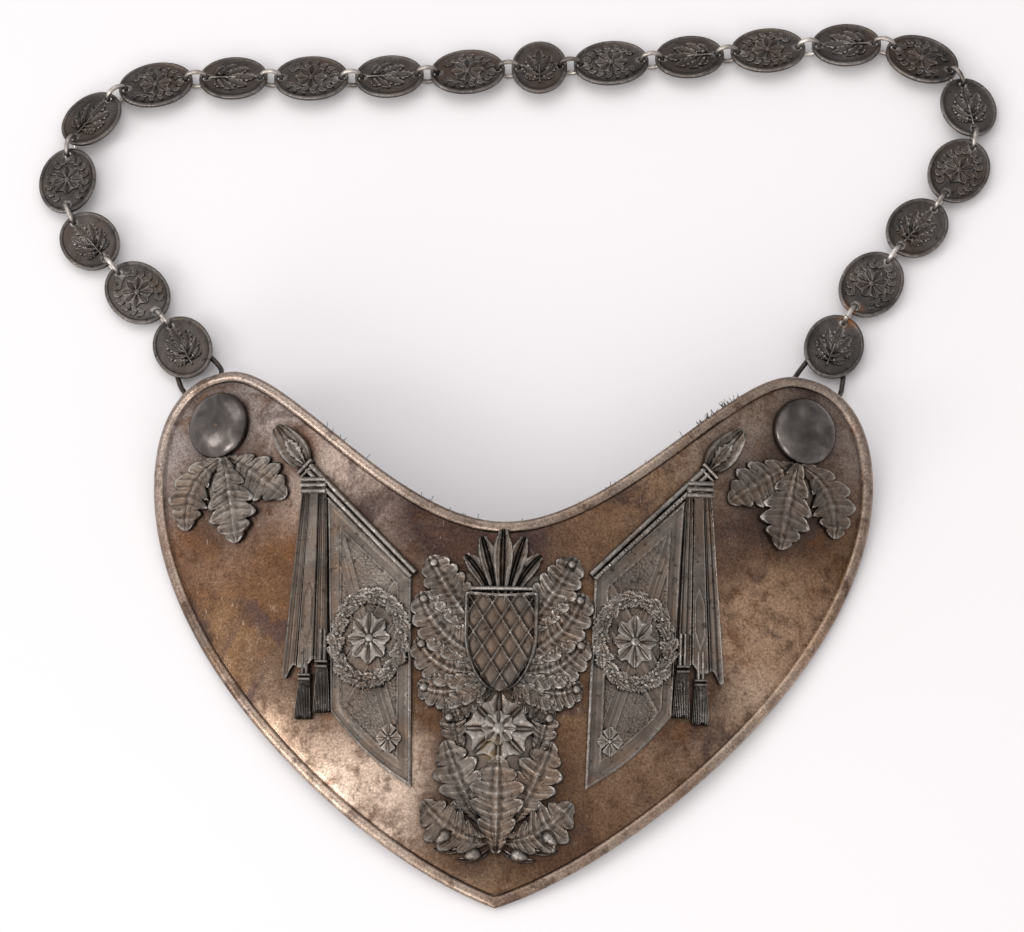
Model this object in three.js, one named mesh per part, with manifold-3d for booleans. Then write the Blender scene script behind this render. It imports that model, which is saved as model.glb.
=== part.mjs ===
// Steel gorget on a chain of oval medallions, lying face up on a flat surface.
// Millimetres, +Z up, +Y from the pointed tip towards the neck and the chain.
import * as THREE from 'three';
import { mergeVertices } from 'three/addons/utils/BufferGeometryUtils.js';
import Module from 'manifold-3d';

const wasm = await Module();
wasm.setup();

// Plate: plan outline, curvature and sheet
const plateWidth = 215;
const plateHeight = 158.3;
const widestHeight = plateHeight * 0.8086;
const neckHeight = plateHeight * 0.6961;
const hornPeak = plateWidth * 0.3907;
const plateRadius = 205;
const sheetThickness = 1.1;
const beadWidth = 3.4;
const beadRise = 1.2;
const beadDrop = 0.8;
const facetWidth = 19.6;

// Felt backing under the sheet
const feltThickness = 1.2;
const feltMargin = 6;
const fitGap = 0.3;

// Bosses near the horns
const bossDiameter = 20.2;
const bossHeight = 4.2;
const bossAcross = plateWidth * 0.4028;
const bossUp = plateHeight * 0.8958;

// Applied relief, heights above its own back
const sprayThickness = 2;
const clothThickness = 1.3;
const clothBorder = 0.6;
const staffDiameter = 1.9;
const streamerThickness = 2.2;
const streamerWidth = 4.4;
const tasselThickness = 2.6;
const tasselWidth = 4.6;
const ferruleBand = 1.5;
const stripeWidth = 1;
const clothWreathRadius = 12.2;
const shieldThickness = 3.2;
const mantlingThickness = 2.4;
const wreathThickness = 2.4;
const rosetteRadius = 8.8;
const rosetteHeight = 2.6;
const acornLength = 5.2;
const lozengeRadius = 2.3;

// Medallions, jump rings and their stringing
const medallionCount = 21;
const largeLength = 24.2;
const largeWidth = 18.8;
const smallLength = 22.3;
const smallWidth = 18;
const medallionThickness = 1.4;
const medallionRim = 1.3;
const medallionDish = 0.35;
const motifRise = 0.6;
const holeDiameter = 2.6;
const holeInset = 2.2;
const ringPitch = 6.5;
const ringWire = 1.5;
const ringSides = 10;
const wireSides = 5;
const lean = THREE.MathUtils.degToRad(8);
const tableGap = 0.05;

// Hook wire on each end medallion, held by a staple behind the horn
const hookWire = 1.6;
const hookTop = 8;
const hookBase = 15;
const hookExit = 2.4;
const hookSides = 6;
const solderSink = 0.2;
const stapleAcross = bossAcross;
const stapleUp = plateHeight * 0.9286;
const stapleWidth = 6;
const stapleWall = 1.1;
const stapleClearance = 0.4;
const hookDepth = feltThickness + 3 * fitGap + hookWire / 2;

// The chain's route on the surface, chosen by hand, from the left end medallion's hole to the right one's,
// as shares of the plate's half width and height
const chainRoute = [
  [-1.0047, 1.1769], [-1.1907, 1.3159], [-1.3367, 1.4428], [-1.3591, 1.6134], [-1.2344, 1.7479],
  [-1.0047, 1.7846], [-0.7814, 1.7877], [-0.5349, 1.7884], [-0.3107, 1.7985], [-0.066, 1.8136],
  [0.1302, 1.8225], [0.3721, 1.8383], [0.5972, 1.8547], [0.8372, 1.873], [1.0633, 1.8781],
  [1.2763, 1.7966], [1.3172, 1.6368], [1.2065, 1.4814], [1.0726, 1.3582], [0.9274, 1.1971],
];

const halfWidth = plateWidth / 2;

// A place on the plate's plan from shares of its half width and its height
function onPlan([across, up]) {
  return [across * halfWidth, up * plateHeight];
}

const finishes = {
  plate: new THREE.MeshStandardMaterial({ color: 0x8d735b, roughness: 0.42, metalness: 0.9 }),
  felt: new THREE.MeshStandardMaterial({ color: 0x2e302b, roughness: 1, metalness: 0 }),
  relief: new THREE.MeshStandardMaterial({ color: 0x57534d, roughness: 0.5, metalness: 0.85 }),
  boss: new THREE.MeshStandardMaterial({ color: 0x5a524c, roughness: 0.35, metalness: 0.9 }),
  medallion: new THREE.MeshStandardMaterial({ color: 0x47413c, roughness: 0.5, metalness: 0.85 }),
  ring: new THREE.MeshStandardMaterial({ color: 0xa29a90, roughness: 0.3, metalness: 1 }),
};

// Closed meshes from indexed points, and back and forth to solids for joins and cuts
function meshFrom(points, faces) {
  const geometry = new THREE.BufferGeometry();
  geometry.setAttribute('position', new THREE.Float32BufferAttribute(points.flat(), 3));
  geometry.setIndex(faces.flat());
  return geometry;
}

function toSolid(geometry) {
  let bare = geometry.clone();
  for (const name of Object.keys(bare.attributes)) {
    if (name !== 'position') bare.deleteAttribute(name);
  }
  bare = mergeVertices(bare, 1e-4);
  const kept = [];
  const index = bare.index.array;
  for (let i = 0; i < index.length; i += 3) {
    const [a, b, c] = [index[i], index[i + 1], index[i + 2]];
    if (a !== b && b !== c && c !== a) kept.push(a, b, c);
  }
  const mesh = new wasm.Mesh({
    numProp: 3,
    vertProperties: Float32Array.from(bare.attributes.position.array),
    triVerts: Uint32Array.from(kept),
  });
  return new wasm.Manifold(mesh);
}

function fromSolid(solid) {
  const mesh = solid.getMesh();
  const geometry = new THREE.BufferGeometry();
  geometry.setAttribute('position', new THREE.BufferAttribute(Float32Array.from(mesh.vertProperties), 3));
  geometry.setIndex(Array.from(mesh.triVerts));
  return geometry;
}

function fuse(geometries) {
  return fromSolid(geometries.map(toSolid).reduce((all, next) => all.add(next)));
}

function cut(geometry, tools) {
  return fromSolid(tools.map(toSolid).reduce((left, tool) => left.subtract(tool), toSolid(geometry)));
}

function mirrored(geometry) {
  const copy = geometry.clone();
  copy.scale(-1, 1, 1);
  const index = copy.index.array;
  for (let i = 0; i < index.length; i += 3) [index[i], index[i + 1]] = [index[i + 1], index[i]];
  return copy;
}

// Outlines as lists of [x, y], run anticlockwise
function insetOutline(outline, distance) {
  return outline.map((point, i) => {
    const before = outline[(i + outline.length - 1) % outline.length];
    const after = outline[(i + 1) % outline.length];
    const first = new THREE.Vector2(before[1] - point[1], point[0] - before[0]).normalize();
    const second = new THREE.Vector2(point[1] - after[1], after[0] - point[0]).normalize();
    const reach = distance / (1 + first.dot(second));
    return [point[0] + (first.x + second.x) * reach, point[1] + (first.y + second.y) * reach];
  });
}

function capFaces(outline) {
  const contour = outline.map(([x, y]) => new THREE.Vector2(x, y));
  return THREE.ShapeUtils.triangulateShape(contour, []);
}

// A closed body from a stack of [inset, height] rings, the first one the floor and the last one the top
function stackedBody(outline, rings) {
  const points = [];
  const faces = [];
  const count = outline.length;
  for (const [inset, height] of rings) {
    for (const [x, y] of insetOutline(outline, inset)) points.push([x, y, height]);
  }
  for (let ring = 0; ring + 1 < rings.length; ring++) {
    for (let i = 0; i < count; i++) {
      const a = ring * count + i;
      const b = ring * count + (i + 1) % count;
      faces.push([a, b, b + count], [a, b + count, a + count]);
    }
  }
  const top = (rings.length - 1) * count;
  for (const [a, b, c] of capFaces(insetOutline(outline, rings[0][0]))) faces.push([c, b, a]);
  for (const [a, b, c] of capFaces(insetOutline(outline, rings[rings.length - 1][0]))) {
    faces.push([a + top, b + top, c + top]);
  }
  return meshFrom(points, faces);
}

function slab(outline, low, high, chamfer = 0) {
  const rings = [[0, low], [0, high - chamfer]];
  if (chamfer > 0) rings.push([chamfer, high]);
  return stackedBody(outline, rings);
}

function quadOutline(from, to, width) {
  const along = new THREE.Vector2(to[0] - from[0], to[1] - from[1]).normalize();
  const [sideX, sideY] = [-along.y * width / 2, along.x * width / 2];
  return [
    [from[0] - sideX, from[1] - sideY], [to[0] - sideX, to[1] - sideY],
    [to[0] + sideX, to[1] + sideY], [from[0] + sideX, from[1] + sideY],
  ];
}

// Leaves: stations along the midrib, and half width and lobe height as shares
const oakLobes = [
  { along: 0.03, half: 0.4, height: 0.75 }, { along: 0.3, half: 0.92, height: 1 },
  { along: 0.45, half: 0.62, height: 0.85 }, { along: 0.68, half: 1, height: 1 },
  { along: 0.88, half: 0.72, height: 0.95 },
];
const acanthusLobes = [
  { along: 0.03, half: 0.5, height: 0.8 }, { along: 0.4, half: 1, height: 1 },
  { along: 0.74, half: 0.75, height: 0.95 },
];
const palmLobes = [
  { along: 0.05, half: 0.35, height: 0.8 }, { along: 0.72, half: 1, height: 1 },
];

function leaf(base, bend, tip, halfSpan, thickness, lobes) {
  const midrib = new THREE.QuadraticBezierCurve(
    new THREE.Vector2(...base), new THREE.Vector2(...bend), new THREE.Vector2(...tip));
  const ribShare = 0.6;
  const points = [];
  const faces = [];
  for (const { along, half, height } of lobes) {
    const on = midrib.getPoint(along);
    const side = midrib.getTangent(along).rotateAround(new THREE.Vector2(), Math.PI / 2);
    const reach = half * halfSpan;
    points.push([on.x + side.x * reach, on.y + side.y * reach, thickness * height]);
    points.push([on.x, on.y, thickness * ribShare]);
    points.push([on.x - side.x * reach, on.y - side.y * reach, thickness * height]);
    points.push([on.x + side.x * reach, on.y + side.y * reach, 0]);
    points.push([on.x - side.x * reach, on.y - side.y * reach, 0]);
  }
  for (let i = 0; i + 1 < lobes.length; i++) {
    const [left, rib, right, leftLow, rightLow] = [0, 1, 2, 3, 4].map((k) => i * 5 + k);
    const [left2, rib2, right2, leftLow2, rightLow2] = [5, 6, 7, 8, 9].map((k) => i * 5 + k);
    faces.push([left, rib, rib2], [left, rib2, left2], [rib, right, right2], [rib, right2, rib2]);
    faces.push([rightLow, leftLow, leftLow2], [rightLow, leftLow2, rightLow2]);
    faces.push([leftLow, left, left2], [leftLow, left2, leftLow2]);
    faces.push([right, rightLow, rightLow2], [right, rightLow2, right2]);
  }
  const last = (lobes.length - 1) * 5;
  const end = points.length;
  points.push([...tip, thickness * ribShare], [...tip, 0]);
  faces.push([last, last + 1, end], [last + 1, last + 2, end], [last + 4, last + 3, end + 1]);
  faces.push([last + 3, last, end], [last + 3, end, end + 1], [last + 2, last + 4, end + 1]);
  faces.push([last + 2, end + 1, end], [3, 4, 2], [3, 2, 1], [3, 1, 0]);
  return meshFrom(points, faces);
}

function dome(centre, radius, profile, sides) {
  const turned = new THREE.LatheGeometry(profile.map(([r, h]) => new THREE.Vector2(r * radius, h)), sides);
  turned.rotateX(Math.PI / 2);
  turned.translate(centre[0], centre[1], 0);
  return turned;
}

function acorn(centre, turn, length) {
  const width = length * 0.62;
  const body = new THREE.SphereGeometry(0.5, 6, 3);
  body.scale(width, length, wreathThickness * 1.5);
  body.rotateZ(turn);
  body.translate(centre[0], centre[1], wreathThickness * 0.3);
  const below = slab(quadOutline([centre[0] - length, centre[1]], [centre[0] + length, centre[1]], 3 * length),
    -wreathThickness, 0);
  return cut(body, [below]);
}

// Flat work is cut along straight lines across the plate, so that every piece bends in the same facets
function sliceFacets(geometry) {
  let flat = toSolid(geometry).getMesh();
  let points = [];
  for (let i = 0; i < flat.vertProperties.length; i += 3) points.push(Array.from(flat.vertProperties.slice(i, i + 3)));
  let faces = [];
  for (let i = 0; i < flat.triVerts.length; i += 3) faces.push(Array.from(flat.triVerts.slice(i, i + 3)));
  const reach = Math.ceil(halfWidth / facetWidth);
  const nearLine = 1e-3;
  for (let k = -reach; k < reach; k++) {
    const line = (k + 0.5) * facetWidth;
    for (const point of points) if (Math.abs(point[0] - line) < nearLine) point[0] = line;
    const cuts = new Map();
    const crossing = (a, b) => {
      const key = Math.min(a, b) + '_' + Math.max(a, b);
      if (!cuts.has(key)) {
        const [p, q] = [points[Math.min(a, b)], points[Math.max(a, b)]];
        const share = (line - p[0]) / (q[0] - p[0]);
        cuts.set(key, points.length);
        points.push([line, p[1] + share * (q[1] - p[1]), p[2] + share * (q[2] - p[2])]);
      }
      return cuts.get(key);
    };
    const next = [];
    for (const face of faces) {
      const sides = face.map((v) => Math.sign(points[v][0] - line));
      if (!(sides.includes(1) && sides.includes(-1))) {
        next.push(face);
        continue;
      }
      const on = sides.indexOf(0);
      if (on >= 0) {
        const [a, b, c] = [face[on], face[(on + 1) % 3], face[(on + 2) % 3]];
        const m = crossing(b, c);
        next.push([a, b, m], [a, m, c]);
      } else {
        const lone = sides.findIndex((s, i) => s !== sides[(i + 1) % 3] && s !== sides[(i + 2) % 3]);
        const [a, b, c] = [face[lone], face[(lone + 1) % 3], face[(lone + 2) % 3]];
        const [m, n] = [crossing(a, b), crossing(a, c)];
        next.push([a, m, n], [m, b, c], [m, c, n]);
      }
    }
    faces = next;
  }
  return { points, faces };
}

// The plate is a shallow cylinder along the line from tip to neck; facets are chords of it
function surfaceAt(x) {
  const line = (Math.round(x / facetWidth - 0.5) + 0.5) * facetWidth;
  const onLine = Math.abs(x - line) < 1e-3;
  const middle = Math.round(x / facetWidth) * facetWidth;
  const [left, right] = [middle - facetWidth / 2, middle + facetWidth / 2];
  const rise = (at) => Math.sqrt(plateRadius ** 2 - at ** 2) - plateRadius;
  const share = (x - left) / facetWidth;
  const height = onLine ? rise(x) : rise(left) + share * (rise(right) - rise(left));
  const tilt = onLine ? Math.asin(x / plateRadius) : Math.atan2(rise(left) - rise(right), facetWidth);
  const stretch = onLine ? 1 / Math.cos(Math.asin(facetWidth / 2 / plateRadius)) : 1;
  return { height, tilt, stretch };
}

function ontoPlate(x, y, h) {
  const { height, tilt, stretch } = surfaceAt(x);
  return [x + h * stretch * Math.sin(tilt), y, height + h * stretch * Math.cos(tilt)];
}

function bent(geometry, lift) {
  const { points, faces } = sliceFacets(geometry);
  return meshFrom(points.map(([x, y, h]) => ontoPlate(x, y, h + lift)), faces);
}

// Plate outline: tip, side, horn, neck, then the same mirrored
function halfOutline() {
  const side = new THREE.CubicBezierCurve(
    new THREE.Vector2(0, 0), new THREE.Vector2(halfWidth * 0.384, plateHeight * 0.087),
    new THREE.Vector2(halfWidth, widestHeight * 0.588), new THREE.Vector2(halfWidth, widestHeight));
  const horn = new THREE.CubicBezierCurve(
    new THREE.Vector2(halfWidth, widestHeight), new THREE.Vector2(halfWidth, widestHeight * 0.36 + plateHeight * 0.64),
    new THREE.Vector2(hornPeak * 0.36 + halfWidth * 0.64, plateHeight), new THREE.Vector2(hornPeak, plateHeight));
  const neck = new THREE.CubicBezierCurve(
    new THREE.Vector2(hornPeak, plateHeight), new THREE.Vector2(hornPeak * 0.782, plateHeight),
    new THREE.Vector2(hornPeak * 0.376, neckHeight), new THREE.Vector2(0, neckHeight));
  const [sideSteps, hornSteps, neckSteps] = [8, 5, 7];
  return [
    ...side.getPoints(sideSteps), ...horn.getPoints(hornSteps).slice(1), ...neck.getPoints(neckSteps).slice(1),
  ].map((p) => [p.x, p.y]);
}

const right = halfOutline();
const left = right.slice(1, -1).reverse().map(([x, y]) => [-x, y]);
const outline = [...right, ...left];

function plateBody() {
  return stackedBody(outline, [
    [beadWidth * 1.1, -sheetThickness], [beadWidth * 0.5, -sheetThickness - beadDrop],
    [0, -sheetThickness / 2], [beadWidth * 0.3, beadRise], [beadWidth * 0.75, beadRise * 0.85],
    [beadWidth, 0],
  ]);
}

// The staple's slot in the felt is a box round its feet
function feltBody() {
  const low = -sheetThickness - fitGap - feltThickness;
  const trimmed = insetOutline(outline, feltMargin).filter((_, i) => i % 2 === 0);
  const sheet = slab(trimmed, low, low + feltThickness);
  const slotWidth = stapleWidth + 4 * fitGap;
  const slotHeight = hookWire + 2 * (stapleClearance + stapleWall) + 4 * fitGap;
  const slots = [-1, 1].map((side) => {
    const slot = new THREE.BoxGeometry(slotWidth, slotHeight, 3 * feltThickness);
    slot.translate(side * stapleAcross, stapleUp, low + feltThickness / 2);
    return slot;
  });
  return cut(sheet, slots);
}

function planLeaf({ base, bend, tip, half }, thickness, lobes) {
  return leaf(onPlan(base), onPlan(bend), onPlan(tip), half * halfWidth, thickness, lobes);
}

function leafSpray() {
  const base = [0.7833, 0.8282];
  const room = bossDiameter / 2 + 2 * fitGap;
  const boss = new THREE.CylinderGeometry(room, room, 4 * sprayThickness, 24);
  boss.rotateX(Math.PI / 2);
  boss.translate(bossAcross, bossUp, 0);
  const leaves = fuse([
    planLeaf({ base, bend: [0.8651, 0.796], tip: [0.9079, 0.7239], half: 0.0595 }, sprayThickness, oakLobes),
    planLeaf({ base, bend: [0.6977, 0.7707], tip: [0.5991, 0.7644], half: 0.0521 }, sprayThickness, oakLobes),
    planLeaf({ base, bend: [0.7349, 0.7644], tip: [0.7367, 0.6734], half: 0.0651 }, sprayThickness * 1.15, oakLobes),
  ]);
  return cut(leaves, [boss]);
}

// One standard, the right-hand one: staff, finial, ferrule, cloth, streamers and two tassels
function standard() {
  const [staffTop, staffFoot] = [[0.5349, 0.801], [0.2502, 0.6008]].map(onPlan);
  const cloth = [
    [0.2474, 0.59], [0.2474, 0.3159], [0.2288, 0.2116], [0.3163, 0.2489], [0.4521, 0.3512], [0.4819, 0.7429],
  ].map(onPlan);
  const finial = { base: [0.5265, 0.7953], bend: [0.5814, 0.8402], tip: [0.6288, 0.8831], half: 0.0409 };
  const streamers = [
    { top: [0.5358, 0.7675], foot: [0.5637, 0.446], width: 1 },
    { top: [0.506, 0.7675], foot: [0.5191, 0.4384], width: 0.91 },
    { top: [0.4912, 0.7423], foot: [0.4781, 0.4864], width: 0.77 },
  ];
  const tassels = [
    { top: [0.5219, 0.4675], foot: [0.5247, 0.3373] }, { top: [0.4763, 0.4991], foot: [0.4744, 0.3487] },
  ];
  const ferrule = [[0.4856, 0.7593], [0.547, 0.7618], [0.4856, 0.7783], [0.547, 0.7808]];
  const stripes = [
    [[0.2698, 0.2874], [0.4326, 0.398]], [[0.293, 0.6159], [0.4512, 0.717]],
  ];
  const wreathCentre = onPlan([0.3535, 0.4801]);

  const pieces = [slab(cloth, 0, clothThickness)];
  const staffOffset = staffDiameter * 0.318;
  for (const offset of [-staffOffset, staffOffset]) {
    const ridge = quadOutline([staffTop[0] + offset, staffTop[1] - offset],
      [staffFoot[0] + offset, staffFoot[1] - offset], staffDiameter);
    pieces.push(slab(ridge, 0, clothThickness + staffDiameter / 2));
  }
  pieces.push(planLeaf(finial, streamerThickness * 1.1, palmLobes));
  for (let i = 0; i < ferrule.length; i += 2) {
    const band = quadOutline(onPlan(ferrule[i]), onPlan(ferrule[i + 1]), ferruleBand);
    pieces.push(slab(band, 0, streamerThickness * 1.36));
  }
  for (const { top, foot, width } of streamers) {
    pieces.push(slab(quadOutline(onPlan(top), onPlan(foot), width * streamerWidth), 0, streamerThickness));
  }
  for (const { top, foot } of tassels) {
    const [from, to] = [onPlan(top), onPlan(foot)];
    const neckAt = from.map((v, i) => v + (to[i] - v) * 0.3);
    pieces.push(slab(quadOutline(from, neckAt, tasselWidth * 0.7), 0, tasselThickness));
    pieces.push(slab(quadOutline(neckAt, to, tasselWidth), 0, tasselThickness * 0.9, tasselWidth * 0.2));
  }
  const sunk = clothThickness * 0.77;
  pieces.push(dome(wreathCentre, clothWreathRadius, [
    [0.66, sunk], [1, sunk], [0.83, clothThickness + clothBorder * 1.6], [0.66, sunk],
  ], 10));
  pieces.push(dome(wreathCentre, clothWreathRadius * 0.42, [
    [0, sunk], [1, sunk], [0.5, clothThickness + clothBorder * 2], [0, clothThickness + clothBorder * 2],
  ], 6));
  for (const [from, to] of stripes) {
    pieces.push(slab(quadOutline(onPlan(from), onPlan(to), stripeWidth), 0, clothThickness + clothBorder));
  }
  return fuse(pieces);
}

// Shield with a lozenge field, a palm crest above and leafy mantling on both sides
function centreTrophy() {
  const shieldSide = [[0.0558, 0.4119], [0.0893, 0.4485], [0.0986, 0.4927], [0.0986, 0.5622]].map(onPlan);
  const shield = [onPlan([0, 0.3853]), ...shieldSide, ...shieldSide.map(([x, y]) => [-x, y]).reverse()];
  const pieces = [stackedBody(shield, [
    [0, 0], [0, shieldThickness * 0.84], [shieldThickness * 0.22, shieldThickness],
    [shieldThickness / 2, shieldThickness * 0.78],
  ])];
  for (const place of [[-0.0428, 0.5306], [0.0428, 0.5306], [0, 0.4896], [0, 0.4422]]) {
    const lozenge = new THREE.ConeGeometry(lozengeRadius, shieldThickness * 0.56, 4);
    lozenge.rotateX(Math.PI / 2);
    lozenge.scale(1, 1.4, 1);
    lozenge.translate(...onPlan(place), shieldThickness * 0.87);
    pieces.push(lozenge);
  }
  const crest = [
    { base: [0, 0.5496], bend: [0, 0.6064], tip: [0, 0.6721], half: 0.027 },
    { base: [0.0102, 0.5496], bend: [0.026, 0.6064], tip: [0.0521, 0.6595], half: 0.0233 },
    { base: [0.0186, 0.5496], bend: [0.0456, 0.6064], tip: [0.0912, 0.6292], half: 0.0205 },
  ];
  const mantling = [
    { base: [0.0837, 0.5117], bend: [0.1395, 0.5622], tip: [0.1898, 0.6229], half: 0.0465 },
    { base: [0.0884, 0.4611], bend: [0.1767, 0.4675], tip: [0.2307, 0.5433], half: 0.0447 },
    { base: [0.0651, 0.4327], bend: [0.1674, 0.4043], tip: [0.2326, 0.446], half: 0.0409 },
    { base: [0.0419, 0.4169], bend: [0.1395, 0.379], tip: [0.1972, 0.3411], half: 0.0391 },
  ];
  const feathers = crest.map((row) => planLeaf(row, mantlingThickness, palmLobes));
  const scrolls = mantling.map((row) => planLeaf(row, mantlingThickness, acanthusLobes));
  pieces.push(...feathers, ...scrolls, ...feathers.slice(1).map(mirrored), ...scrolls.map(mirrored));
  return fuse(pieces);
}

// Oak leaves fanning up round a plain rosette, with acorns at their feet
function oakWreath() {
  const upright = { base: [0, 0.0979], bend: [0, 0.1706], tip: [0, 0.2811], half: 0.0577 };
  const leafPairs = [
    { base: [0.0233, 0.12], bend: [0.093, 0.1706], tip: [0.1321, 0.2956], half: 0.0502 },
    { base: [0.0233, 0.1074], bend: [0.1116, 0.12], tip: [0.1991, 0.1946], half: 0.0502 },
  ];
  const acorns = [{ at: [0.1414, 0.1251], turn: -0.9 }, { at: [0.067, 0.0973], turn: -0.3 }];
  const rosette = dome(onPlan([0, 0.3184]), rosetteRadius, [
    [0, 0], [1, 0], [0.9, rosetteHeight * 0.72], [0.6, rosetteHeight * 0.4],
    [0.28, rosetteHeight], [0, rosetteHeight],
  ], 10);
  const side = [
    ...leafPairs.map((row) => planLeaf(row, wreathThickness, oakLobes)),
    ...acorns.map(({ at, turn }) => acorn(onPlan(at), turn, acornLength)),
  ];
  const tall = planLeaf(upright, wreathThickness * 1.2, oakLobes);
  return fuse([tall, rosette, ...side, ...side.map(mirrored)]);
}

// Medallions lie along X, with holes at the given places
function medallion(length, width, holesAt, ornament) {
  const sides = 12;
  const oval = Array.from({ length: sides }, (_, i) => {
    const turn = (i + 0.5) * 2 * Math.PI / sides;
    const grown = 1 / Math.cos(Math.PI / sides);
    return [Math.cos(turn) * length / 2 * grown, Math.sin(turn) * width / 2 * grown];
  });
  const half = medallionThickness / 2;
  const disc = stackedBody(oval, [[0, -half], [0, half], [medallionRim, half - medallionDish]]);
  ornament.translate(0, 0, half - medallionDish);
  const holes = holesAt.map(([x, y]) => {
    const hole = new THREE.CylinderGeometry(holeDiameter / 2, holeDiameter / 2, 3 * medallionThickness, 6);
    hole.rotateX(Math.PI / 2);
    hole.translate(x, y, 0);
    return hole;
  });
  return cut(fuse([disc, ornament]), holes);
}

// The sprig and the rosette in low relief, each as one faceted boss
function motif(length, width, sides) {
  const boss = new THREE.ConeGeometry(0.5, 2 * motifRise, sides);
  boss.rotateX(Math.PI / 2);
  boss.rotateZ(Math.PI / 2);
  boss.scale(length, width, 1);
  return boss;
}

function sprigMotif() {
  return motif(smallLength * 0.62, smallWidth * 0.5, 4);
}

function rosetteMotif() {
  return motif(largeWidth * 0.56, largeWidth * 0.56, 6);
}

// A wire swept round a closed run of corners, with mitred joints
function wireLoop(corners, diameter, sides) {
  const points = [];
  const faces = [];
  const count = corners.length;
  const centre = corners.reduce((sum, p) => sum.clone().add(p), new THREE.Vector3()).divideScalar(count);
  const across = corners[1].clone().sub(corners[0]);
  const normal = across.cross(corners[2].clone().sub(corners[0])).normalize();
  corners.forEach((corner, i) => {
    const back = corner.clone().sub(corners[(i + count - 1) % count]).normalize();
    const ahead = corners[(i + 1) % count].clone().sub(corner).normalize();
    const tangent = back.clone().add(ahead).normalize();
    const outward = normal.clone().cross(tangent).normalize();
    if (outward.dot(corner.clone().sub(centre)) < 0) outward.negate();
    const up = tangent.clone().cross(outward).normalize();
    const mitre = 1 / Math.max(0.5, tangent.dot(ahead));
    for (let k = 0; k < sides; k++) {
      const turn = 2 * Math.PI * (k + 0.5) / sides;
      const point = corner.clone().addScaledVector(outward, Math.cos(turn) * diameter / 2 * mitre)
        .addScaledVector(up, Math.sin(turn) * diameter / 2);
      points.push(point.toArray());
    }
  });
  for (let i = 0; i < count; i++) {
    for (let k = 0; k < sides; k++) {
      const [a, b] = [i * sides + k, i * sides + (k + 1) % sides];
      const [c, d] = [((i + 1) % count) * sides + k, ((i + 1) % count) * sides + (k + 1) % sides];
      faces.push([a, c, d], [a, d, b]);
    }
  }
  const loop = meshFrom(points, faces);
  return signedVolume(loop) < 0 ? meshFrom(points, faces.map(([a, b, c]) => [a, c, b])) : loop;
}

function signedVolume(geometry) {
  const at = (i) => new THREE.Vector3().fromBufferAttribute(geometry.attributes.position, geometry.index.array[i]);
  let volume = 0;
  for (let i = 0; i < geometry.index.count; i += 3) volume += at(i).dot(at(i + 1).cross(at(i + 2))) / 6;
  return volume;
}

// A U of strip over the hook's base bar, its feet against the sheet
function stapleBody() {
  const inner = hookWire / 2 + stapleClearance;
  const outer = inner + stapleWall;
  const shape = new THREE.Shape([
    [-outer, 0], [-inner, 0], [-inner, -hookDepth - inner], [inner, -hookDepth - inner], [inner, 0], [outer, 0],
    [outer, -hookDepth - outer], [-outer, -hookDepth - outer],
  ].map(([x, y]) => new THREE.Vector2(x, y)));
  const body = new THREE.ExtrudeGeometry(shape, { depth: stapleWidth, bevelEnabled: false });
  body.translate(0, 0, -stapleWidth / 2);
  body.applyMatrix4(new THREE.Matrix4().makeBasis(
    new THREE.Vector3(0, 1, 0), new THREE.Vector3(0, 0, 1), new THREE.Vector3(1, 0, 0)));
  return body;
}

const gorget = new THREE.Group();
const chest = new THREE.Group();
gorget.add(chest);

function addPiece(group, name, geometry, material, matrix) {
  const mesh = new THREE.Mesh(geometry, material);
  mesh.name = name;
  if (matrix) mesh.applyMatrix4(matrix);
  group.add(mesh);
  return mesh;
}

// A frame standing on the plate at a place, X across the slope and Z off the face
function plateFrame(x, y, h) {
  const slope = Math.asin(x / plateRadius);
  const across = new THREE.Vector3(Math.cos(slope), 0, -Math.sin(slope));
  const up = new THREE.Vector3(Math.sin(slope), 0, Math.cos(slope));
  const rise = Math.sqrt(plateRadius ** 2 - x ** 2) - plateRadius;
  const place = new THREE.Vector3(x, y, rise).addScaledVector(up, h);
  return new THREE.Matrix4().makeBasis(across, new THREE.Vector3(0, 1, 0), up).setPosition(place);
}

// The plate lies on its tip and both sides, which sets its pitch
const underEdge = sheetThickness + beadDrop;
const contact = outline.filter(([, y]) => y > neckHeight / 3);
const pitch = Math.atan(Math.max(...contact.map(([x, y]) => -surfaceAt(x).height / y)));
chest.rotation.x = pitch;
chest.position.z = underEdge * Math.cos(pitch) + tableGap;
chest.updateMatrixWorld(true);

addPiece(chest, 'plate', bent(plateBody(), 0), finishes.plate);
addPiece(chest, 'felt_backing', bent(feltBody(), 0), finishes.felt);
addPiece(chest, 'standard_right', bent(standard(), fitGap), finishes.relief);
addPiece(chest, 'standard_left', bent(mirrored(standard()), fitGap), finishes.relief);
addPiece(chest, 'leaf_spray_right', bent(leafSpray(), fitGap), finishes.relief);
addPiece(chest, 'leaf_spray_left', bent(mirrored(leafSpray()), fitGap), finishes.relief);
addPiece(chest, 'centre_trophy', bent(centreTrophy(), fitGap), finishes.relief);
addPiece(chest, 'oak_wreath', bent(oakWreath(), fitGap), finishes.relief);

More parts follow.
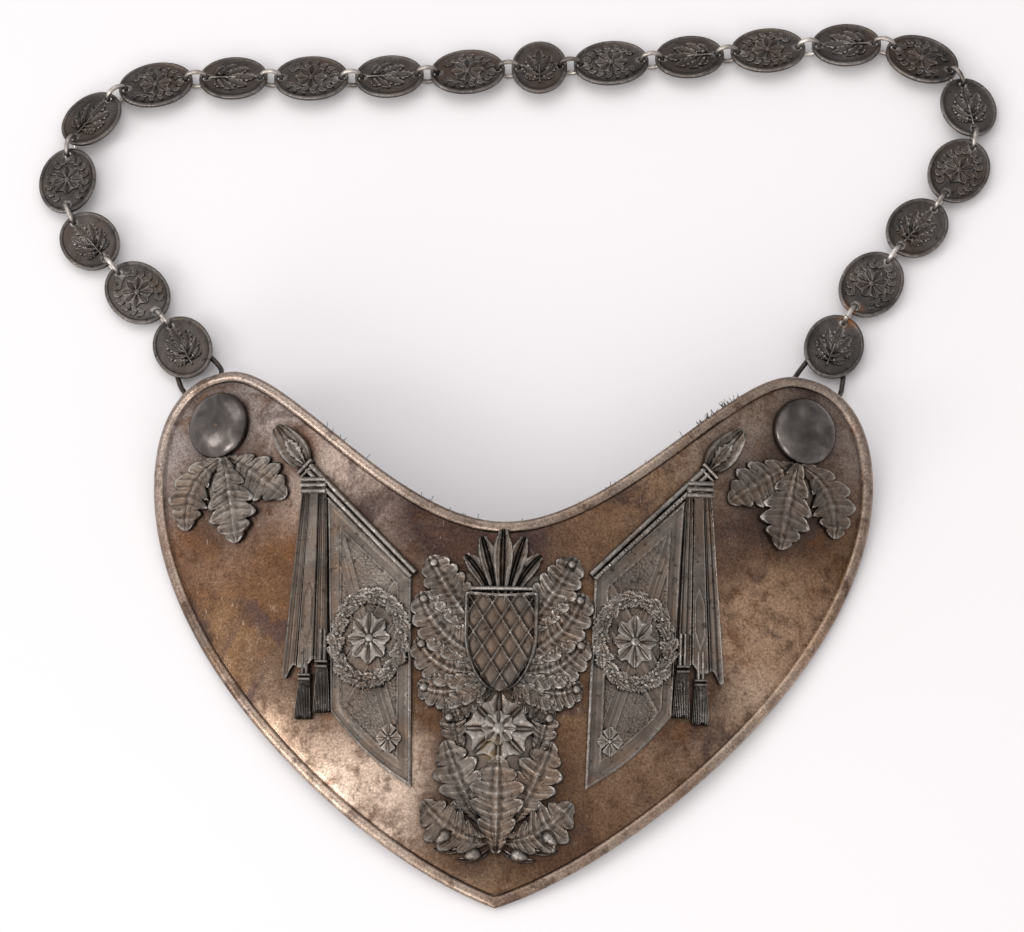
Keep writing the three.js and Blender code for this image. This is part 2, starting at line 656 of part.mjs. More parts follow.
const bossProfile = [[0, 0], [1, 0], [1, 0.14], [0.86, 0.56], [0.52, 0.9], [0, 1]]
  .map(([r, h]) => [r, h * bossHeight]);
const staples = {};
for (const [name, side] of [['left', -1], ['right', 1]]) {
  addPiece(chest, 'boss_' + name, dome([0, 0], bossDiameter / 2, bossProfile, 16), finishes.boss,
    plateFrame(side * bossAcross, bossUp, fitGap));
  const under = plateFrame(side * stapleAcross, stapleUp, -sheetThickness - 1.25 * fitGap);
  addPiece(chest, 'staple_' + name, stapleBody(), finishes.medallion, under);
  staples[name] = new THREE.Matrix4().multiplyMatrices(chest.matrixWorld, under);
}

// Holes and medallions strung along the route at their true spacing
const ringRadius = ringPitch / 2 / Math.cos(Math.PI / ringSides);
const chainHeight = (ringRadius + ringWire / 2) * Math.cos(lean) + tableGap;

function isLarge(number) {
  return number % 2 === 0;
}

function holeSpan(number) {
  if (number === (medallionCount + 1) / 2) return smallWidth - 2 * holeInset;
  return (isLarge(number) ? largeLength : smallLength) - 2 * holeInset;
}

function strung(stretch) {
  const places = chainRoute.map(onPlan);
  const start = places[0][1];
  const route = new THREE.CatmullRomCurve3(places.map(([x, y]) =>
    new THREE.Vector3(x, start + (y - start) * stretch, chainHeight)), false, 'centripetal');
  const hops = [ringPitch];
  for (let number = 2; number < medallionCount; number++) hops.push(holeSpan(number), ringPitch);
  const holes = [route.getPoint(0)];
  let share = 0;
  for (const hop of hops) {
    const from = holes[holes.length - 1];
    let [near, far] = [share, Math.min(1, share + 0.12)];
    for (let i = 0; i < 40; i++) {
      const middle = (near + far) / 2;
      if (route.getPoint(middle).distanceTo(from) < hop) near = middle;
      else far = middle;
    }
    share = far;
    const aim = route.getPoint(share).sub(from).normalize();
    holes.push(from.clone().addScaledVector(aim, hop));
  }
  return { holes, miss: holes[holes.length - 1].distanceTo(route.getPoint(1)), share };
}

let [tight, slack] = [0.7, 1.4];
for (let i = 0; i < 40; i++) {
  const middle = (tight + slack) / 2;
  if (strung(middle).share >= 1 - 1e-6) tight = middle;
  else slack = middle;
}
const holes = strung((tight + slack) / 2).holes;

// X along the chain, Y to its outer side and down, Z off the face
function linkFrame(along, place) {
  const u = along.clone().normalize();
  const outer = new THREE.Vector3(0, 0, 1).cross(u).normalize();
  const face = u.clone().cross(outer);
  const v = outer.multiplyScalar(Math.cos(lean)).addScaledVector(face, -Math.sin(lean));
  return new THREE.Matrix4().makeBasis(u, v, u.clone().cross(v)).setPosition(place);
}

function numbered(stem, number) {
  return stem + '_' + String(number).padStart(2, '0');
}

const linkFrames = [];
for (let number = 2; number < medallionCount; number++) {
  const [from, to] = [holes[2 * number - 3], holes[2 * number - 2]];
  const frame = linkFrame(to.clone().sub(from), from.clone().add(to).divideScalar(2));
  linkFrames[number] = frame;
  const reach = holeSpan(number) / 2;
  if (number === (medallionCount + 1) / 2) {
    const crosswise = medallion(smallLength, smallWidth, [[0, -reach], [0, reach]], sprigMotif());
    crosswise.rotateZ(Math.PI / 2);
    addPiece(gorget, numbered('medallion', number), crosswise, finishes.medallion, frame);
    continue;
  }
  const at = [[-reach, 0], [reach, 0]];
  const body = isLarge(number) ? medallion(largeLength, largeWidth, at, rosetteMotif())
    : medallion(smallLength, smallWidth, at, sprigMotif());
  addPiece(gorget, numbered('medallion', number), body, finishes.medallion, frame);
}

// End medallions lie like the rest, with one hole. Their hook wire is soldered across the back, runs out past
// the edge and rises to the staple
for (const [name, number, hole, way] of [
  ['left', 1, holes[0], 1], ['right', medallionCount, holes[holes.length - 1], -1],
]) {
  const bar = new THREE.Vector3(0, 0, -hookDepth).applyMatrix4(staples[name]);
  const backGap = (medallionThickness + hookWire) / 2 - solderSink;
  const aim = hole.clone().sub(bar).setZ(0).multiplyScalar(way);
  const reach = smallLength / 2 - holeInset;
  const centre = hole.clone().addScaledVector(aim.clone().normalize(), -way * reach);
  const frame = linkFrame(aim, centre);
  linkFrames[number] = frame;
  const home = frame.clone().invert();
  const barEnd = (sign) => new THREE.Vector3(sign * hookBase / 2, 0, -hookDepth)
    .applyMatrix4(staples[name]).applyMatrix4(home);
  const [inner, outer] = [barEnd(-1), barEnd(1)].sort((a, b) => a.y - b.y);
  const exit = -way * (smallLength / 2 + hookExit);
  const corners = [
    new THREE.Vector3(0, hookTop / 2, -backGap), new THREE.Vector3(0, -hookTop / 2, -backGap),
    new THREE.Vector3(exit, -hookBase / 2, -backGap), inner, outer, new THREE.Vector3(exit, hookBase / 2, -backGap),
  ];
  const disc = medallion(smallLength, smallWidth, [[way * reach, 0]], sprigMotif());
  const body = fuse([disc, wireLoop(corners, hookWire, hookSides)]);
  addPiece(gorget, numbered('medallion', number), body, finishes.medallion, frame);
}

// Jump rings stand across the holes that they join
for (let number = 1; number < medallionCount; number++) {
  const [from, to] = [holes[2 * number - 2], holes[2 * number - 1]];
  const along = to.clone().sub(from).normalize();
  const normals = [linkFrames[number], linkFrames[number + 1]].map((m) => new THREE.Vector3().setFromMatrixColumn(m, 2));
  const up = normals[0].add(normals[1]).addScaledVector(along, -normals[0].dot(along)).normalize();
  const frame = new THREE.Matrix4().makeBasis(along, up, along.clone().cross(up))
    .setPosition(from.clone().add(to).divideScalar(2));
  const ring = new THREE.TorusGeometry(ringRadius, ringWire / 2, wireSides, ringSides);
  ring.rotateZ(Math.PI / ringSides);
  addPiece(gorget, numbered('jump_ring', number), ring, finishes.ring, frame);
}

// The origin is under the middle of the whole piece
gorget.updateMatrixWorld(true);
const box = new THREE.Box3().setFromObject(gorget, true);
const middle = box.getCenter(new THREE.Vector3());
for (const part of gorget.children) part.position.sub(new THREE.Vector3(middle.x, middle.y, box.min.z));

export default gorget;
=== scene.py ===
import bpy
import bmesh
import math
import random
import numpy
from mathutils import Matrix, Vector, noise


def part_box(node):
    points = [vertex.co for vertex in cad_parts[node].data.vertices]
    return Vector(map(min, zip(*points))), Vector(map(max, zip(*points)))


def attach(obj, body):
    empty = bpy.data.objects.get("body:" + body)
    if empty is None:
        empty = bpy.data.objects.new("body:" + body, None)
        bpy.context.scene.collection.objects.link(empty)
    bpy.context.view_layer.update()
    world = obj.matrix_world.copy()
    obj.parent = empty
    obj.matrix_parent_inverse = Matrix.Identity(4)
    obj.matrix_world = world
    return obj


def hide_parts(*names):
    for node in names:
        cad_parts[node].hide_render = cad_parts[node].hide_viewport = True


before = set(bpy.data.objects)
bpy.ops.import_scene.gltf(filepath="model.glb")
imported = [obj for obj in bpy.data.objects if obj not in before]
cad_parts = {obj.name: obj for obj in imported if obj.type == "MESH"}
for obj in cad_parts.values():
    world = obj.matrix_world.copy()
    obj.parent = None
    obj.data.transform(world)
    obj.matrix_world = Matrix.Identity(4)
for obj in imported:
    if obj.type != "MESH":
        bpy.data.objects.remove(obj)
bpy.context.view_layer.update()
random.seed(7)
mm = 0.001
print("frame loaded,", len(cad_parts), "nodes")

# The plate is a shallow cylinder that leans up from its tip; flat work in plan millimetres is bent onto it
plateLie = {"radius": 205.0, "tilt": 15.5946, "tipBack": 0.2110, "tipUp": 1.5300}
plateLow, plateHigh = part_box("plate")
tip = Vector(((plateLow.x + plateHigh.x) / 2, plateLow.y, plateLow.z))
tip += Vector((0, -plateLie["tipBack"], plateLie["tipUp"])) * mm
tiltTurn = Matrix.Rotation(math.radians(plateLie["tilt"]), 3, "X")


def onPlate(x, y, h):
    radius = plateLie["radius"]
    slope = math.asin(x / radius)
    flat = Vector((x + h * math.sin(slope), y, math.sqrt(radius ** 2 - x ** 2) - radius + h * math.cos(slope)))
    return tip + (tiltTurn @ flat) * mm


def bendOntoPlate(bm):
    for vert in bm.verts:
        vert.co = onPlate(*vert.co)


def meshFrom(name, bm):
    mesh = bpy.data.meshes.new(name)
    bm.to_mesh(mesh)
    bm.free()
    return mesh


def placed(name, data):
    made = bpy.data.objects.new(name, data)
    bpy.context.scene.collection.objects.link(made)
    return made


def evaluatedMesh(holder):
    bpy.context.view_layer.update()
    return bpy.data.meshes.new_from_object(holder.evaluated_get(bpy.context.evaluated_depsgraph_get()))


def only(kind, parts):
    return [part for part in parts if isinstance(part, kind)]


# A finished piece takes the finish and the slot of the same name and stands for one solid
def finishPiece(name, bm, slotName, node, sharp=38, recalc=True):
    if recalc:
        bmesh.ops.recalc_face_normals(bm, faces=bm.faces[:])
    mesh = meshFrom(name, bm)
    mesh.shade_smooth()
    mesh.set_sharp_from_angle(angle=math.radians(sharp))
    mesh.materials.append(finishes[slotName])
    piece = placed(name, mesh)
    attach(piece, "root")
    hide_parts(node)


# A filled outline becomes a sheet, and rings set in from both of its faces shape the edge
def addSheet(bm, top, low, topRings, underRings, rimSteps=0):
    rim = bm.verts.layers.float.get("rim") or bm.verts.layers.float.new("rim")
    under = only(bmesh.types.BMFace, bmesh.ops.extrude_face_region(bm, geom=[top])["geom"])[0]
    for vert in under.verts:
        vert.co.z = low
    bmesh.ops.recalc_face_normals(bm, faces=bm.faces[:])
    for face, rings in ((top, topRings), (under, underRings)):
        for step, (inset, rise) in enumerate(rings):
            for vert in face.verts:
                vert[rim] = 1.0 if step < rimSteps else 0.0
            bmesh.ops.inset_region(bm, faces=[face], thickness=inset, depth=rise, use_even_offset=True)
        for vert in face.verts:
            vert[rim] = 0.0


# Cuts across a flat sheet, so that it can bend
def cutStrips(bm, reach, every):
    at = -reach + every
    while at < reach:
        everything = bm.verts[:] + bm.edges[:] + bm.faces[:]
        bmesh.ops.bisect_plane(bm, geom=everything, plane_co=(at, 0, 0), plane_no=(1, 0, 0))
        at += every


# Raised work is a grid laid by a rule, with walls dropped round it down to the sheet
def addRaised(bm, across, along, place, foot=-0.1):
    made = bmesh.ops.create_grid(bm, x_segments=across, y_segments=along, size=1)["verts"]
    for vert in made:
        vert.co = Vector(place((vert.co.y + 1) / 2, vert.co.x))
    rim = [edge for edge in {edge for vert in made for edge in vert.link_edges} if edge.is_boundary]
    walls = bmesh.ops.extrude_edge_only(bm, edges=rim)["geom"]
    for vert in only(bmesh.types.BMVert, walls):
        vert.co.z = foot
    feet = [edge for edge in only(bmesh.types.BMEdge, walls) if edge.is_boundary]
    bmesh.ops.holes_fill(bm, edges=feet, sides=0)


# How far each point stands above the work round it, kept for the worn and the dark tones
def markRidges(bm, rounds=10):
    ridge = bm.verts.layers.float.new("ridge")
    bm.verts.index_update()
    heights = numpy.array([vert.co.z for vert in bm.verts])
    ends = numpy.array([[vert.index for vert in edge.verts] for edge in bm.edges])
    shares = numpy.bincount(ends.ravel(), minlength=len(heights)) + 1
    soft = heights.copy()
    for _ in range(rounds):
        total = soft.copy()
        for near, far in ((0, 1), (1, 0)):
            total += numpy.bincount(ends[:, near], soft[ends[:, far]], len(heights))
        soft = total / shares
    for vert, lift in zip(bm.verts, heights - soft):
        vert[ridge] = lift


def bump(x, width):
    return math.exp(-(x / width) ** 2)


def curveAt(base, bend, end, u):
    a, b, c = Vector(base), Vector(bend), Vector(end)
    spot = a * (1 - u) ** 2 + b * 2 * u * (1 - u) + c * u ** 2
    way = ((b - a) * (1 - u) + (c - b) * u)
    way = way.normalized() if way.length > 1e-6 else (c - a).normalized()
    return spot, way, Vector((-way.y, way.x))


# Shared leaf forms; a kind names only what differs from the plain one
plainLeaf = {
    "lobes": 0, "phase": 0, "notch": 0, "slant": 0.2, "stem": 0.3, "blunt": 0.05, "widest": 1.0, "curl": 0.1, "vein": 0,
}
leafKinds = {
    "oak": {"lobes": 4.6, "phase": 0.36, "notch": 0.5, "slant": 0.75, "stem": 0.16, "blunt": 0.5,
            "widest": 1.35, "curl": 0.34, "vein": 0.1},
    "bay": {"slant": 0.1, "stem": 0.2},
    "palm": {"slant": 0.3, "stem": 0.35, "blunt": 0.55, "widest": 1.8, "curl": 0.2},
    "acanthus": {"lobes": 5.6, "phase": 0.4, "notch": 0.34, "slant": 0.8, "stem": 0.5, "blunt": 0.45,
                 "widest": 0.85, "curl": 0.34, "vein": 0.1},
    "spear": {"blunt": 0.02, "widest": 0.8, "curl": 0.5},
}


# One leaf: round lobes along its edge, a rib down the middle, a vein to each lobe and an edge that curls up
def addLeaf(bm, kind, base, bend, end, half, rise, lift=0.0, across=14, along=30, foot=-0.1):
    look = {**plainLeaf, **leafKinds[kind]}

    def place(u, side):
        spot, way, out = curveAt(base, bend, end, u)
        turn = look["lobes"] * u + look["phase"]
        lobe = abs(math.sin(math.pi * turn)) ** 0.45 if look["lobes"] else 1.0
        swell = math.sin(math.pi * min(1.0, u ** look["widest"])) ** 0.7
        width = look["stem"] + (1 - look["stem"]) * swell
        width = max(width, look["blunt"] * u ** 4)
        width *= half * (1 - look["notch"] * (1 - lobe) * min(1, u * 5))
        far = abs(side)
        forward = look["slant"] * far ** 1.3 * width * (1 - u ** 3) * 0.6
        forward += (1 - far ** 2) * width * 0.7 * u ** 8
        spot = spot + out * side * width + way * forward
        h = rise * (0.56 + 0.14 * far ** 2 + look["curl"] * (lobe - 0.5) * far ** 2.2)
        h += rise * 0.15 * bump(side, 0.07) * (1 - 0.5 * u) - rise * 0.1 * bump(far - 0.2, 0.09)
        if look["lobes"]:
            away = turn % 1 - 0.5
            h += rise * look["vein"] * bump(away + 0.1 * far, 0.06) * (1 - 0.5 * far)
            h -= rise * 0.08 * bump(abs(away) - 0.22, 0.09)
            h += rise * 0.05 * math.cos(away * 32) * far + rise * 0.1 * bump(far - 0.9, 0.06)
        if kind == "palm":
            h += rise * 0.05 * math.cos(far * 6 * math.pi)
        if kind == "spear":
            h += rise * 0.2 * bump(far - 0.85, 0.14)
        h += rise * 0.08 * noise.noise(Vector((spot.x, spot.y, 3.0)) * 0.55)
        h -= rise * 0.34 * max(0, (far - 0.9) / 0.1) ** 2
        return spot.x, spot.y, lift + max(h, rise * 0.12)

    addRaised(bm, across, along, place, foot)


# A leaf from its row in a table; side -1 mirrors it
def addLeafRow(bm, kind, row, across, along, side=1, rise=None):
    spots = [(side * x, y) for x, y in row["curve"]]
    addLeaf(bm, kind, *spots, row["half"], rise or row["rise"], row.get("lift", 0.0), across, along)


# A half-round bar
def addBar(bm, start, end, width, rise, across=8, along=6, lift=0.0, foot=-0.1):
    a, b = Vector(start), Vector(end)
    out = Vector((-(b - a).y, (b - a).x)).normalized()

    def place(u, side):
        angle = side * math.pi / 2
        spot = a.lerp(b, u) + out * math.sin(angle) * width / 2
        return spot.x, spot.y, lift + rise * (0.15 + 0.85 * math.cos(angle))

    addRaised(bm, across, along, place, foot)


def addDome(bm, x, y, radius, rise, lift=0.0, segments=14, squash=1.0):
    for vert in bmesh.ops.create_uvsphere(bm, u_segments=segments, v_segments=max(6, segments // 2), radius=1)["verts"]:
        vert.co = Vector((x + vert.co.x * radius, y + vert.co.y * radius * squash, lift + vert.co.z * rise))


# An acorn: smooth nut with a point, in a scaled cup
def addAcorn(bm, x, y, turn, length, rise):
    turned = Matrix.Rotation(turn, 3, "Z")
    middle = Vector((x, y, rise * 0.35))
    for vert in bmesh.ops.create_uvsphere(bm, u_segments=18, v_segments=12, radius=1)["verts"]:
        a, b, along = vert.co
        slim = 1 - 0.25 * max(0, along) ** 2
        vert.co = turned @ Vector((a * length * 0.3 * slim, along * length * 0.5, b * rise * slim)) + middle
    for vert in bmesh.ops.create_uvsphere(bm, u_segments=20, v_segments=12, radius=1)["verts"]:
        a, b, along = vert.co
        knob = 1 + 0.05 * math.sin(14 * along) * math.sin(9 * math.atan2(b, a))
        shape = Vector((a * length * 0.37, min(along, 0.05) * length * 0.46 - length * 0.06, b * rise * 1.12))
        vert.co = turned @ (shape * knob) + middle


def mirrorWork(bm):
    for vert in bm.verts:
        vert.co.x = -vert.co.x
    bmesh.ops.reverse_faces(bm, faces=bm.faces[:])


# The node tree of one finish, with short calls for the nodes that the finishes here use
class Nodes:
    def __init__(self, owner, coords="Object"):
        owner.use_nodes = True
        self.owner, self.tree = owner, owner.node_tree
        self.coords = self.node("TexCoord", coords, {})

    def feed(self, socket, value):
        if isinstance(value, bpy.types.NodeSocket):
            self.tree.links.new(value, socket)
        else:
            socket.default_value = (*value, 1) if isinstance(value, tuple) and socket.type == "RGBA" else value

    def node(self, kind, out, inputs, **settings):
        made = self.tree.nodes.new("ShaderNode" + kind)
        for name, value in settings.items():
            setattr(made, name, value)
        for name, value in inputs.items():
            self.feed(made.inputs[name], value)
        return made.outputs[out]

    def noise(self, scale, detail=4.0, rough=0.6, distort=0.0, coords=None):
        return self.node("TexNoise", "Fac", {
            "Vector": coords or self.coords, "Scale": scale, "Detail": detail, "Roughness": rough,
            "Distortion": distort})

    def ramp(self, source, stops):
        made = self.tree.nodes.new("ShaderNodeValToRGB")
        band = made.color_ramp
        while len(band.elements) < len(stops):
            band.elements.new(0.5)
        for element, (at, tone) in zip(band.elements, stops):
            element.position = at
            element.color = (*tone, 1) if isinstance(tone, tuple) else (tone, tone, tone, 1)
        self.feed(made.inputs["Fac"], source)
        return made.outputs["Color"]

    def mottle(self, stops, *wave):
        return self.ramp(self.noise(*wave), stops)

    def blend(self, share, low, high, way="MIX"):
        return self.node("Mix", "Result", {"Factor": share, "A": low, "B": high}, data_type="RGBA", blend_type=way)

    def sums(self, way, first, second):
        return self.node("Math", "Value", {0: first, 1: second}, operation=way)

    def times(self, first, second):
        return self.sums("MULTIPLY", first, second)

    def attribute(self, name):
        return self.node("Attribute", "Fac", {}, attribute_name=name)

    def crevices(self, reach):
        return self.node("AmbientOcclusion", "AO", {"Distance": reach}, samples=4)

    def patch(self, spot, reach):  # one at its middle and nothing past its reach
        shift = self.node("VectorMath", "Vector", {0: self.coords, 1: tuple(spot)}, operation="SUBTRACT")
        length = self.node("VectorMath", "Value", {0: shift}, operation="LENGTH")
        return self.ramp(self.sums("DIVIDE", length, reach), [(0.0, 1.0), (1.0, 0.0)])

    def done(self, tone, metallic, rough, layers):
        shader = self.tree.nodes["Principled BSDF"]
        for name, value in (("Base Color", tone), ("Metallic", metallic), ("Roughness", rough)):
            self.feed(shader.inputs[name], value)
        for height, strength, depth in layers:
            inputs = {"Height": height, "Strength": strength, "Distance": depth}
            if shader.inputs["Normal"].is_linked:
                inputs["Normal"] = shader.inputs["Normal"].links[0].from_socket
            self.feed(shader.inputs["Normal"], self.node("Bump", "Normal", inputs))
        return self.owner


# Large patches on the plate: place in plan, reach, tone and share. Most are tarnish; the light ones low down at (-54,
# 46), (-36, 31), (68, 54) and (76, 72) are painted sheen, the grey ones up by the bosses are grey tarnish lightened as
# painted sheen, the dark one at (-8, 112) below the neck is painted shade, and the small dark ones round the bosses,
# sprays, wreath foot and standards darken the plate next to the raised work
plateTarnishAndPaintedLight = [
    ((-86, 138), 60, (0.31, 0.26, 0.24), 0.95), ((86, 138), 46, (0.24, 0.19, 0.165), 0.85),
    ((-50, 118), 36, (0.4, 0.31, 0.26), 0.95), ((-86, 92), 44, (0.14, 0.062, 0.026), 0.95),
    ((90, 98), 40, (0.145, 0.074, 0.036), 0.85), ((76, 72), 38, (0.43, 0.275, 0.18), 0.9),
    ((68, 54), 20, (0.55, 0.4, 0.29), 0.95), ((-74, 72), 40, (0.17, 0.1, 0.056), 0.9),
    ((-54, 46), 28, (0.64, 0.46, 0.34), 0.9), ((-36, 31), 26, (0.72, 0.56, 0.45), 0.9),
    ((52, 44), 34, (0.24, 0.15, 0.098), 0.85), ((-8, 112), 40, (0.04, 0.024, 0.025), 1.0),
    ((30, 108), 24, (0.17, 0.098, 0.06), 0.6), ((20, 12), 22, (0.12, 0.062, 0.035), 0.7),
    ((-10, 8), 16, (0.28, 0.18, 0.12), 0.7), ((-62, 133), 9, (0.14, 0.055, 0.025), 0.9),
    ((-63, 92), 22, (0.1, 0.05, 0.025), 0.85), ((-62, 68), 18, (0.1, 0.065, 0.045), 0.8),
    ((62, 108), 18, (0.1, 0.06, 0.048), 0.7), ((-81, 121), 22, (0.065, 0.044, 0.036), 1.0),
    ((81, 121), 22, (0.065, 0.046, 0.04), 1.0), ((-86, 142), 15, (0.08, 0.06, 0.05), 1.0),
    ((86, 142), 15, (0.08, 0.058, 0.048), 1.0), ((0, 27), 31, (0.06, 0.036, 0.025), 1.0),
    ((-48, 60), 20, (0.08, 0.052, 0.038), 0.9), ((50, 62), 20, (0.085, 0.055, 0.04), 0.9),
]


def tarnishedPlate():
    look = Nodes(bpy.data.materials.new("tarnishedPlate"))
    mottled, fine = look.noise(170, 8, 0.72, 0.2), look.noise(1500, 4, 0.7)
    tone = look.mottle([
        (0.34, (0.1, 0.053, 0.03)), (0.46, (0.165, 0.095, 0.056)),
        (0.56, (0.225, 0.138, 0.08)), (0.68, (0.31, 0.21, 0.14))], 16, 3, 0.55, 0.4)
    ragged = look.mottle([(0.34, 0.45), (0.52, 1.0)], 34, 9, 0.6, 0.5)
    # Each patch is blended over the tarnish; the sheen patches are painted highlight and the patch below the neck is
    # painted shade
    for spot, reach, patchTone, share in plateTarnishAndPaintedLight:
        here = look.ramp(look.patch(onPlate(*spot, 0), reach * mm), [(0.0, 0.0), (0.55, share)])
        tone = look.blend(look.times(here, ragged), tone, patchTone)
    turned = look.node("Mapping", "Vector", {"Vector": look.coords, "Rotation": (0, 0, 0.7), "Scale": (1, 0.03, 1)})
    streaks = look.noise(1300, 2, 0.5, coords=turned)
    # Painted shade: the plate is darkened by ambient occlusion where the raised work and the rim hem it in, standing
    # also for grime there
    grimeAndShade = look.times(look.ramp(look.crevices(0.009), [(0.3, 1.0), (0.95, 0.0)]), 0.85)
    rim = look.attribute("rim")
    # Rim wear, lightened also to serve as a painted highlight along the rolled edge
    wearAndHighlight = look.times(rim, look.mottle([(0.36, 0.1), (0.6, 0.75)], 40, 7, 0.65))
    knocks = look.times(rim, look.mottle([(0.56, 0.0), (0.63, 0.8)], 95, 6, 0.7))
    for share, over in (
        (look.ramp(mottled, [(0.38, 0.7), (0.52, 0.0)]), (0.08, 0.042, 0.025)),  # brown film
        (look.mottle([(0.56, 0.0), (0.66, 0.7)], 62, 9, 0.68, 0.3), (0.15, 0.068, 0.032)),  # rust
        (look.ramp(mottled, [(0.58, 0.0), (0.75, 0.3)]), (0.4, 0.31, 0.25)),  # bare metal
        (look.mottle([(0.55, 0.0), (0.63, 0.75)], 38, 8, 0.62, 0.7), (0.062, 0.04, 0.038)),  # dusky bloom
        (look.mottle([(0.66, 0.0), (0.72, 0.55)], 700, 3, 0.6), (0.05, 0.032, 0.022)),  # pits
        (look.ramp(streaks, [(0.7, 0.0), (0.74, 0.35)]), (0.5, 0.4, 0.33)),  # scratches
        (grimeAndShade, (0.042, 0.028, 0.022)), (wearAndHighlight, (0.38, 0.3, 0.245)), (knocks, (0.1, 0.064, 0.045)),
    ):
        tone = look.blend(share, tone, over)
    tone = look.blend(1.0, tone, look.ramp(fine, [(0.34, 0.58), (0.66, 1.4)]), "MULTIPLY")
    rough = look.blend(rim, look.ramp(mottled, [(0.34, 0.48), (0.62, 0.25)]), (0.24, 0.24, 0.24))
    return look.done(tone, 1.0, rough, [
        (look.noise(26, 2, 0.5), 0.4, 0.0012), (fine, 0.6, 0.00016),
        (streaks, 0.15, 0.0001), (look.noise(3200, 2, 0.6), 0.35, 0.00006)])


# Cast work: dark in its recesses, rubbed light where it stands proud, with painted glints on the rubbed ridges and one
# stain on it
def castRelief(name, base, recess, wearAndHighlight, grain, spot, reach, patchTone):
    look = Nodes(bpy.data.materials.new(name))
    cloudy = look.noise(90, 6, 0.66, 0.6)
    tone = look.ramp(cloudy, [(0.34, tuple(c * 0.6 for c in base)), (0.52, base), (0.72, tuple(c * 1.5 for c in base))])
    share = look.sums("ADD", look.times(look.attribute("ridge"), 1.3), 0.5)
    rubbed = look.times(look.ramp(share, [(0.55, 0.0), (0.82, 1.0)]), look.ramp(cloudy, [(0.35, 0.3), (0.6, 0.95)]))
    here = look.ramp(look.patch(spot, reach * mm), [(0.0, 0.0), (0.6, 0.9)])
    # Painted highlight: small bright glints scattered over the rubbed ridges
    paintedGlints = look.times(rubbed, look.mottle([(0.56, 0.0), (0.7, 0.7)], 900, 2, 0.5))
    warmer = (base[0] * 1.15, base[1] * 0.86, base[2] * 0.66)
    for part, over in (
        (look.mottle([(0.44, 0.0), (0.64, 0.65)], 48, 5, 0.65, 1.0), warmer),
        (look.ramp(share, [(0.22, 0.75), (0.46, 0.0)]), recess),
        (look.ramp(look.crevices(0.003), [(0.2, 0.8), (0.8, 0.0)]), recess),
        (rubbed, wearAndHighlight),
        (look.mottle([(0.6, 0.0), (0.7, 0.7)], 520, 3, 0.6), recess),  # grime between the grains
        (paintedGlints, tuple(min(1, c * 2.1) for c in wearAndHighlight)),
        (look.times(here, look.mottle([(0.42, 0.0), (0.54, 1.0)], 260, 5, 0.7)), patchTone),
    ):
        tone = look.blend(part, tone, over)
    rough = look.mottle([(0.3, 0.22), (0.7, 0.42)], 160, 4, 0.6)
    return look.done(tone, 0.97, rough, [
        (look.noise(800, 4, 0.65), 0.7, 0.00028 * grain), (look.noise(2600, 2, 0.6), 0.5, 0.0001 * grain)])


def darkBoss():
    look = Nodes(bpy.data.materials.new("darkBoss"))
    tone = look.mottle([
        (0.32, (0.055, 0.047, 0.044)), (0.52, (0.1, 0.087, 0.081)), (0.72, (0.21, 0.185, 0.172))], 120, 5, 0.6, 0.5)
    tone = look.blend(look.mottle([(0.62, 0.0), (0.68, 0.6)], 380, 4, 0.65), tone, (0.26, 0.15, 0.09))
    rough = look.mottle([(0.3, 0.16), (0.7, 0.28)], 200, 4, 0.6)
    return look.done(tone, 0.92, rough, [(look.noise(900, 3, 0.6), 0.25, 0.0001)])


def ringWire():
    look = Nodes(bpy.data.materials.new("ringWire"))
    tone = look.mottle([
        (0.38, (0.13, 0.11, 0.1)), (0.5, (0.34, 0.3, 0.27)), (0.64, (0.6, 0.56, 0.52))], 70, 4, 0.6)
    rough = look.mottle([(0.3, 0.22), (0.7, 0.4)], 500, 3, 0.6)
    return look.done(tone, 1.0, rough, [(look.noise(1500, 2, 0.6), 0.3, 0.00005)])


def woolFelt():
    look = Nodes(bpy.data.materials.new("woolFelt"))
    tone = look.mottle([(0.3, (0.012, 0.016, 0.014)), (0.7, (0.05, 0.058, 0.052))], 500, 5, 0.7, 1.0)
    look.tree.nodes["Principled BSDF"].inputs["Sheen Weight"].default_value = 0.5
    return look.done(tone, 0.0, 0.95, [(look.noise(1400, 4, 0.7, 2.0), 0.7, 0.0004)])


ringLow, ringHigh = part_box("jump_ring_20")
lastRing = (ringLow + ringHigh) / 2
finishes = {
    "plate": tarnishedPlate(),
    "relief": castRelief(
        "pewterRelief", (0.135, 0.114, 0.098), (0.018, 0.012, 0.009), (0.28, 0.255, 0.232), 1.2,
        onPlate(-1.5, 44.5, 0), 4.5, (0.2, 0.125, 0.04)),
    "medallion": castRelief(
        "oxidisedLink", (0.08, 0.07, 0.065), (0.016, 0.014, 0.013), (0.29, 0.265, 0.245), 0.8,
        lastRing, 6, (0.22, 0.1, 0.04)),
    "boss": darkBoss(),
    "ring": ringWire(),
    "felt": woolFelt(),
}
print("finishes made")

